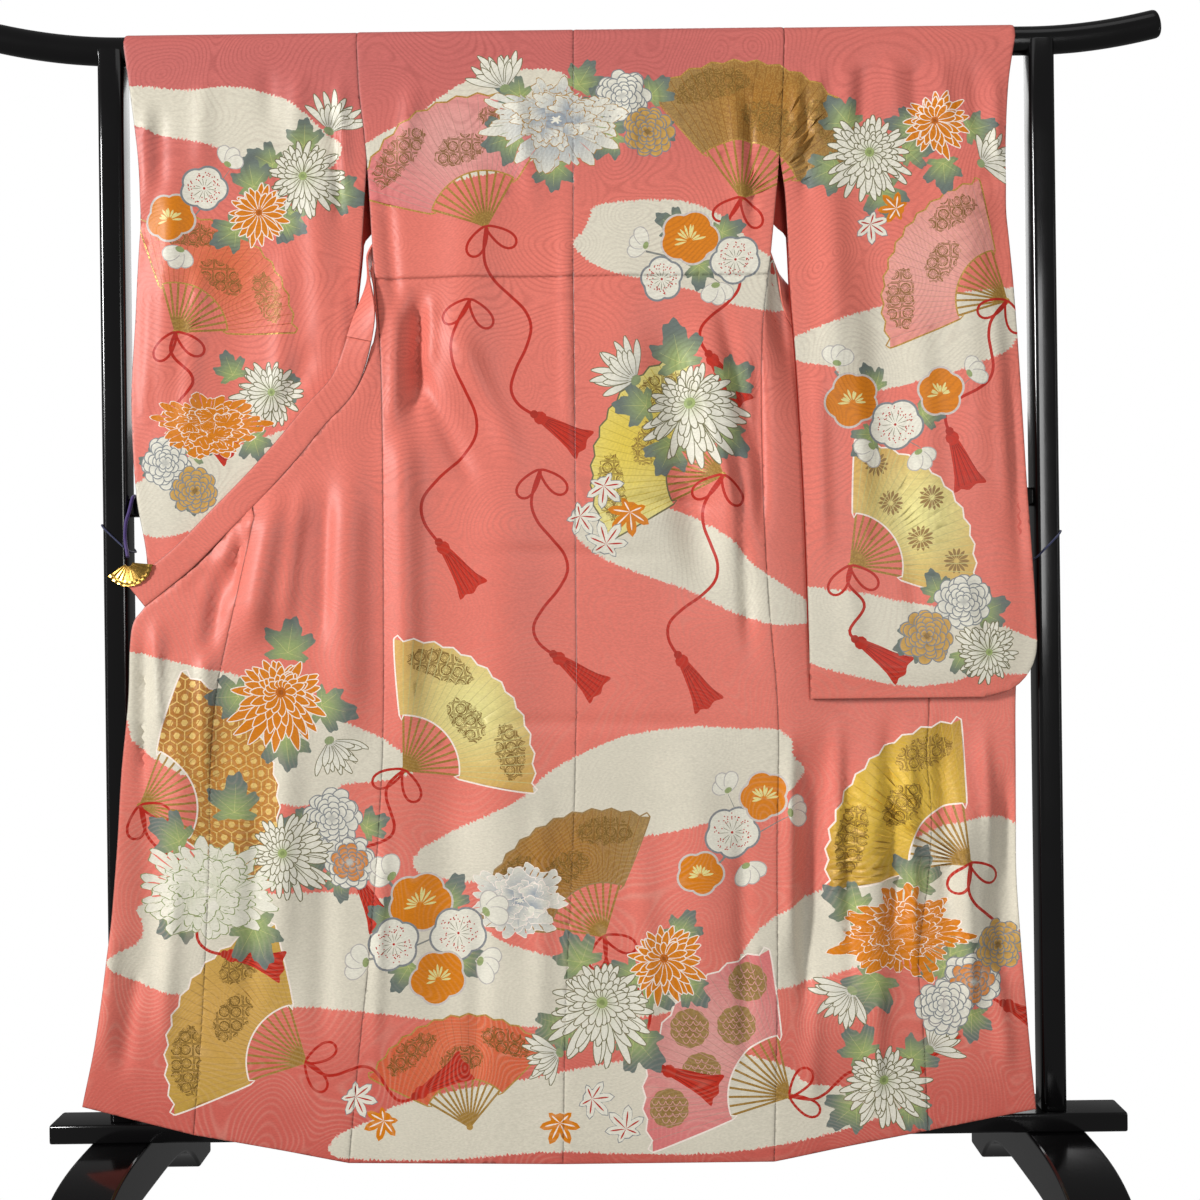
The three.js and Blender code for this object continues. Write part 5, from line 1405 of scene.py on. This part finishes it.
BODY = [(BODY_FOLDS, 2.4), (BODY_CREASES, 2.8)]
SLEEVE = [(SLEEVE_FOLDS, 1.9), (SLEEVE_CREASES, 2.2)]
BEHIND = [(SLEEVE_CREASES, 0.5)]
SIDES = {"left": (LEFT_SIDE, LEFT_SLEEVE, LEFT_FRONT, LEFT_OVERLAP, LEFT_COLLAR, -90, 7.3),
    "right": (RIGHT_SIDE, RIGHT_SLEEVE, RIGHT_FRONT, RIGHT_OVERLAP, RIGHT_COLLAR, 82, 6.3)}
for name, (side, sleeve, front, overlap, collar, neck_x, flat_from) in SIDES.items():
    back = Shell(back_grid(side), -1, BODY, wraps=True, tuck=True, lining=body_lining)
    cloth(f"silk_back_{name}", [back], [f"back_{name}"])
    spread = Shell(front_grid(front, side, collar, flat_from), -1, BODY, lining=LINING_CORAL)
    cloth(f"silk_front_{name}", [spread], [f"front_{name}"])
    lap = Shell(overlap_grid(overlap, front, collar, flat_from), -1, BODY, lining=LINING_CORAL)
    cloth(f"silk_overlap_{name}", [lap], [f"overlap_{name}"])
    shoulder = Shell(shoulder_grid(side, sleeve, neck_x, collar), 1, [], wraps=True, lining=body_lining)
    cloth(f"silk_front_shoulder_{name}", [shoulder], [f"front_{name}_shoulder"])
    for layer, word, folds in ((-1, "back", SLEEVE), (1, "front", BEHIND)):
        grid = sleeve_grid(sleeve, layer, side)
        half = Shell(grid, layer, folds, wraps=True, lining=sleeve_lining, kind="sleeve")
        cloth(f"silk_sleeve_{name}_{word}", [half], [f"sleeve_{name}_{word}"])
    cloth(f"silk_collar_{name}", collar_shells(collar, flat_from), [f"collar_{name}"])
neck = Shell(neck_grid(), 1, [], wraps=True, lining=CORAL)
cloth("silk_collar_neck", [neck], ["collar_neck"])


# ---- Stand ---------------------------------------------------------------------------------------
def solid(name, points, faces, surface, nodes, part_slot, smooth_angle=35, bevel=0.0, uv=None):
    """A smooth rigid piece in place of its plain solids."""
    points = np.array(points, float) / 1000
    if volume(points, faces) < 0:
        faces = [tuple(f)[::-1] for f in faces]
    mesh = bpy.data.meshes.new(name)
    mesh.from_pydata(points.tolist(), [], faces)
    if uv is not None:
        layer = mesh.uv_layers.new(name="UVMap")
        for loop in mesh.loops:
            layer.data[loop.index].uv = uv[loop.vertex_index]
    mesh.materials.append(surface)
    mesh.shade_smooth()
    mesh.set_sharp_from_angle(angle=math.radians(smooth_angle))
    made = bpy.data.objects.new(name, mesh)
    scene.collection.objects.link(made)
    if bevel:
        rounding = made.modifiers.new("rounding", "BEVEL")
        rounding.width, rounding.segments, rounding.limit_method = bevel / 1000, 3, "ANGLE"
        rounding.angle_limit = math.radians(40)
    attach(made, "root")
    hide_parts(*nodes)
    return made


def bar():
    reach, sides = BAR["half"] - BAR["straight"], 48
    past = np.concatenate((np.linspace(0, 0.96, 20), [0.975, 0.985, 0.993, 0.998, 1.0]))
    grow = np.concatenate((np.ones(20), [0.995, 0.98, 0.95, 0.9, 0.8]))
    stations = [(-BAR["straight"] - p * reach, p, g) for p, g in zip(past[::-1], grow[::-1])]
    stations += [(x, 0, 1) for x in np.linspace(-640, 640, 21)]
    stations += [(BAR["straight"] + p * reach, p, g) for p, g in zip(past, grow)]
    points = []
    for x, p, g in stations:
        tilt = math.atan(2 * BAR["rise"] * p / reach) * math.copysign(1, x)
        for k in range(sides):
            a = 2 * math.pi * k / sides
            y, z = BAR["deep"] * g * math.cos(a), BAR["high"] * g * math.sin(a)
            points.append((x - z * math.sin(tilt), y, BAR["z"] + BAR["rise"] * p**2 + z * math.cos(tilt)))
    return points, rings_to_faces(sides, len(stations))


def rounded(width, height, corner, steps=5):
    points = []
    for sx, sy, start in ((1, 1, 0), (-1, 1, 90), (-1, -1, 180), (1, -1, 270)):
        for i in range(steps + 1):
            a = math.radians(start + 90 * i / steps)
            x, y = sx * (width / 2 - corner), sy * (height / 2 - corner)
            points.append((x + corner * math.cos(a), y + corner * math.sin(a)))
    return points


def shaft(outline, low, high, place, ease=1.6):
    """A rounded beam with eased ends; place turns a point of the outline and a height into x, y, z."""
    ends = [(low, ease), (low + 0.3 * ease, 0.35 * ease), (low + ease, 0)]
    ends += [(z, 0) for z in np.linspace(low, high, 12)[1:-1]]
    ends += [(high - ease, 0), (high - 0.3 * ease, 0.35 * ease), (high, ease)]
    reach = max(abs(p) for point in outline for p in point)
    points = [place(a * (1 - cut / reach), b * (1 - cut / reach), z) for z, cut in ends for a, b in outline]
    return points, rings_to_faces(len(outline), len(ends))


def foot(x):
    """A domed board standing fore and aft, arched beneath between two pads."""
    top = 138.8
    reach, dome, arch_reach, arch = 285, 300, 222, 68
    s = np.linspace(-1, 1, 61)
    above = [(reach * t, top * (1 - abs(reach * t / dome) ** 4)) for t in s]
    below = [(-arch_reach * t, max(0.0, arch * (1 - abs(t) ** 4))) for t in s]
    profile = [(-reach, 0)] + above + [(reach, 0)] + below
    n = len(profile)
    points = [(x + w, y, z) for w in (-44, 44) for y, z in profile]
    faces = [tuple(range(n)), tuple(range(n, 2 * n))[::-1]]
    faces += [(i, i + n, (i + 1) % n + n, (i + 1) % n) for i in range(n)]
    return points, faces


def tube(path, radius, sides=16, closed=False):
    """A round cord through points, with its length and its round in the UV map."""
    p = np.array(path, float)
    along = np.gradient(p, axis=0) if not closed else np.roll(p, -1, 0) - np.roll(p, 1, 0)
    along /= np.linalg.norm(along, axis=1)[:, None]
    run = np.concatenate(([0], np.cumsum(np.linalg.norm(np.diff(p, axis=0), axis=1))))
    points, uv = [], []
    guide = Vector((0.2, 0.1, 1)) if closed else Vector((1, 0.1, 0))
    for at, way, length in zip(p, along, run):
        way = Vector(way)
        side = way.cross(guide).normalized()
        over = side.cross(way).normalized()
        for k in range(sides):
            a = 2 * math.pi * k / sides
            points.append(tuple(Vector(at) + side * radius * math.cos(a) + over * radius * math.sin(a)))
            uv.append((length / 6, 2 * k / sides if k <= sides / 2 else 2 * (sides - k) / sides))
    return points, rings_to_faces(sides, len(p), closed), uv


def curve3(points, closed=False, count=12):
    """A Catmull-Rom curve in space."""
    p = np.array(points, float)
    n = len(p)
    found = []
    for i in range(n if closed else n - 1):
        b, c = p[i], p[(i + 1) % n]
        a = p[i - 1] if closed or i else 2 * b - c
        d = p[(i + 2) % n] if closed or i + 2 < n else 2 * c - b
        t = np.arange(count)[:, None] / count
        found.append(spline(a, b, c, d, t))
    if not closed:
        found.append(p[-1:])
    return np.vstack(found)


bar_points, bar_faces = bar()
solid("lacquer_bar", bar_points, bar_faces, LACQUER, ["stand_bar"], "lacquer")
rail = shaft(rounded(24, 28, 5), -675.8, 675.8, lambda a, b, s: (s, a, 1084 + b), 0.8)
solid("lacquer_rail", *rail, LACQUER, ["stand_rail"], "lacquer")
sill = shaft(rounded(57, 28.5, 4), -800, 800, lambda a, b, s: (s, a, 153.25 + b), 3)
solid("lacquer_sill", *sill, LACQUER, ["stand_sill"], "lacquer")
for name, side in (("left", -1), ("right", 1)):
    post = shaft(rounded(38, 40, 9, 6), 167.7, 1767, lambda a, b, s: (side * POST_X + a, b, s))
    solid(f"lacquer_post_{name}", *post, LACQUER, [f"stand_post_{name}"], "lacquer")
    solid(f"lacquer_foot_{name}", *foot(side * POST_X), LACQUER, [f"stand_foot_{name}"], "lacquer", bevel=4)

# ---- Clip and ties -------------------------------------------------------------------------------
LOOP = [
    (-669, 0, 1101), (-669, -7, 1101), (-669, -12.7, 1098.7), (-670, -15, 1093), (-673, -19, 1076),
    (-676, -24, 1060), (-677, -25, 1036), (-668, -41, 1009),
]
FAN = {
    "x": -665, "y": -46.4, "z": 1001, "inner": 6, "outer": 36, "from": 214, "to": 354, "pleats": 10,
    "pleat": 1.6,
}


def fan():
    """A small pleated metal fan, scalloped at its rim, with a raised line near it."""
    steps = FAN["pleats"] * 4
    shares = (0, 0.12, 0.3, 0.5, 0.7, 0.8, 0.84, 0.88, 0.95, 1.0)
    raised = {0.84: 0.5, 0.12: 0.4}
    rows = []
    for i in range(steps + 1):
        a = math.radians(FAN["from"] + (FAN["to"] - FAN["from"]) * i / steps)
        fold = abs((i / 2) % 2 - 1)
        row = []
        for share in shares:
            r = FAN["inner"] + (FAN["outer"] - FAN["inner"]) * share - (0.9 * (1 - fold) if share == 1 else 0)
            depth = FAN["y"] - FAN["pleat"] * (1 - fold) * (0.35 + 0.65 * share)
            row.append((r * math.cos(a), depth - raised.get(share, 0), r * math.sin(a)))
        rows.append(row)
    n = len(shares)
    front = [(FAN["x"] + x, y - 0.8, FAN["z"] + z) for row in rows for x, y, z in row]
    behind = [(FAN["x"] + x, y + 0.8, FAN["z"] + z) for row in rows for x, y, z in row]
    total = len(front)
    faces = []
    for i in range(steps):
        faces += [(i * n + k, i * n + k + 1, (i + 1) * n + k + 1, (i + 1) * n + k) for k in range(n - 1)]
    faces += [tuple(v + total for v in f[::-1]) for f in faces]
    rim = [(i, i + 1) for i in range(n - 1)]
    rim += [(i * n + n - 1, (i + 1) * n + n - 1) for i in range(steps)]
    rim += [(steps * n + k + 1, steps * n + k) for k in range(n - 2, -1, -1)]
    rim += [((i + 1) * n, i * n) for i in range(steps - 1, -1, -1)]
    faces += [(b, a, a + total, b + total) for a, b in rim]
    return front + behind, faces


solid("gilt_fan", *fan(), GILT, ["clip_fan"], "gilt", 25)
loop_path = curve3(LOOP)
points, faces, uv = tube(loop_path, 2.6)
loop_cord = solid("violet_clip_cord", points, faces, VIOLET, ["clip_cord"], "violet_cord", 60, uv=uv)
for name, side, inner_z, outer_z in (("left", -1, 1018, 1058), ("right", 1, 990, 1032)):
    reach = 1.7
    outline = rounded(38 + 2 * reach, 40 + 2 * reach, 9 + reach, 4)
    inner = -side * (19 + reach)
    slope = (outer_z - inner_z) / (-2 * inner)
    path = [(side * POST_X + x, y, inner_z + slope * (x - inner)) for x, y in outline]
    points, faces, uv = tube(curve3(path, True, 3), 1.4, 10, True)
    solid(f"navy_tie_{name}", points, faces, NAVY, [f"tie_{name}"], "navy_cord", 60, uv=uv)

# ---- Light and the end ---------------------------------------------------------------------------
world = bpy.data.worlds.new("studio")
scene.world = world
world.use_nodes = True
tree = world.node_tree
background = tree.nodes["Background"]
to_camera = node(tree, "ShaderNodeLightPath").outputs["Is Camera Ray"]
background.inputs["Color"].default_value = (1, 1, 1, 1)
tree.links.new(maths(tree, "MULTIPLY_ADD", to_camera, 0.83, 0.17), background.inputs["Strength"])

# Soft boxes: name, place, aimed at, width, height, power.
BOXES = [
    ("key", (-6.8, -4.5, 3.4), (0, 0, 1.0), 1.0, 1.8, 700), ("fill", (1.1, -3.6, 1.5),
    (0.3, 0, 1.0), 1.0, 1.4, 40),
    ("top", (0.2, -1.1, 3.4), (0, 0, 1.0), 2.4, 0.8, 5), ("behind", (0.6, 3.2, 2.4),
    (0, 0, 1.0), 2.4, 1.6, 26),
    ("strip_left", (-3.2, -1.4, 1.1), (-0.7, 0, 1.0), 0.2, 2.2, 4), ("strip_right", (3.2, -1.2, 1.1),
    (0.7, 0, 1.0), 0.2, 2.2, 4),
]
for name, place, aim, width, height, power in BOXES:
    data = bpy.data.lights.new(name, "AREA")
    data.shape, data.size, data.size_y, data.energy = "RECTANGLE", width, height, power
    lamp = bpy.data.objects.new(name, data)
    scene.collection.objects.link(lamp)
    lamp.location = place
    lamp.rotation_euler = (Vector(aim) - Vector(place)).to_track_quat("-Z", "Y").to_euler()

scene.view_settings.view_transform = "Standard"
bpy.context.view_layer.update()
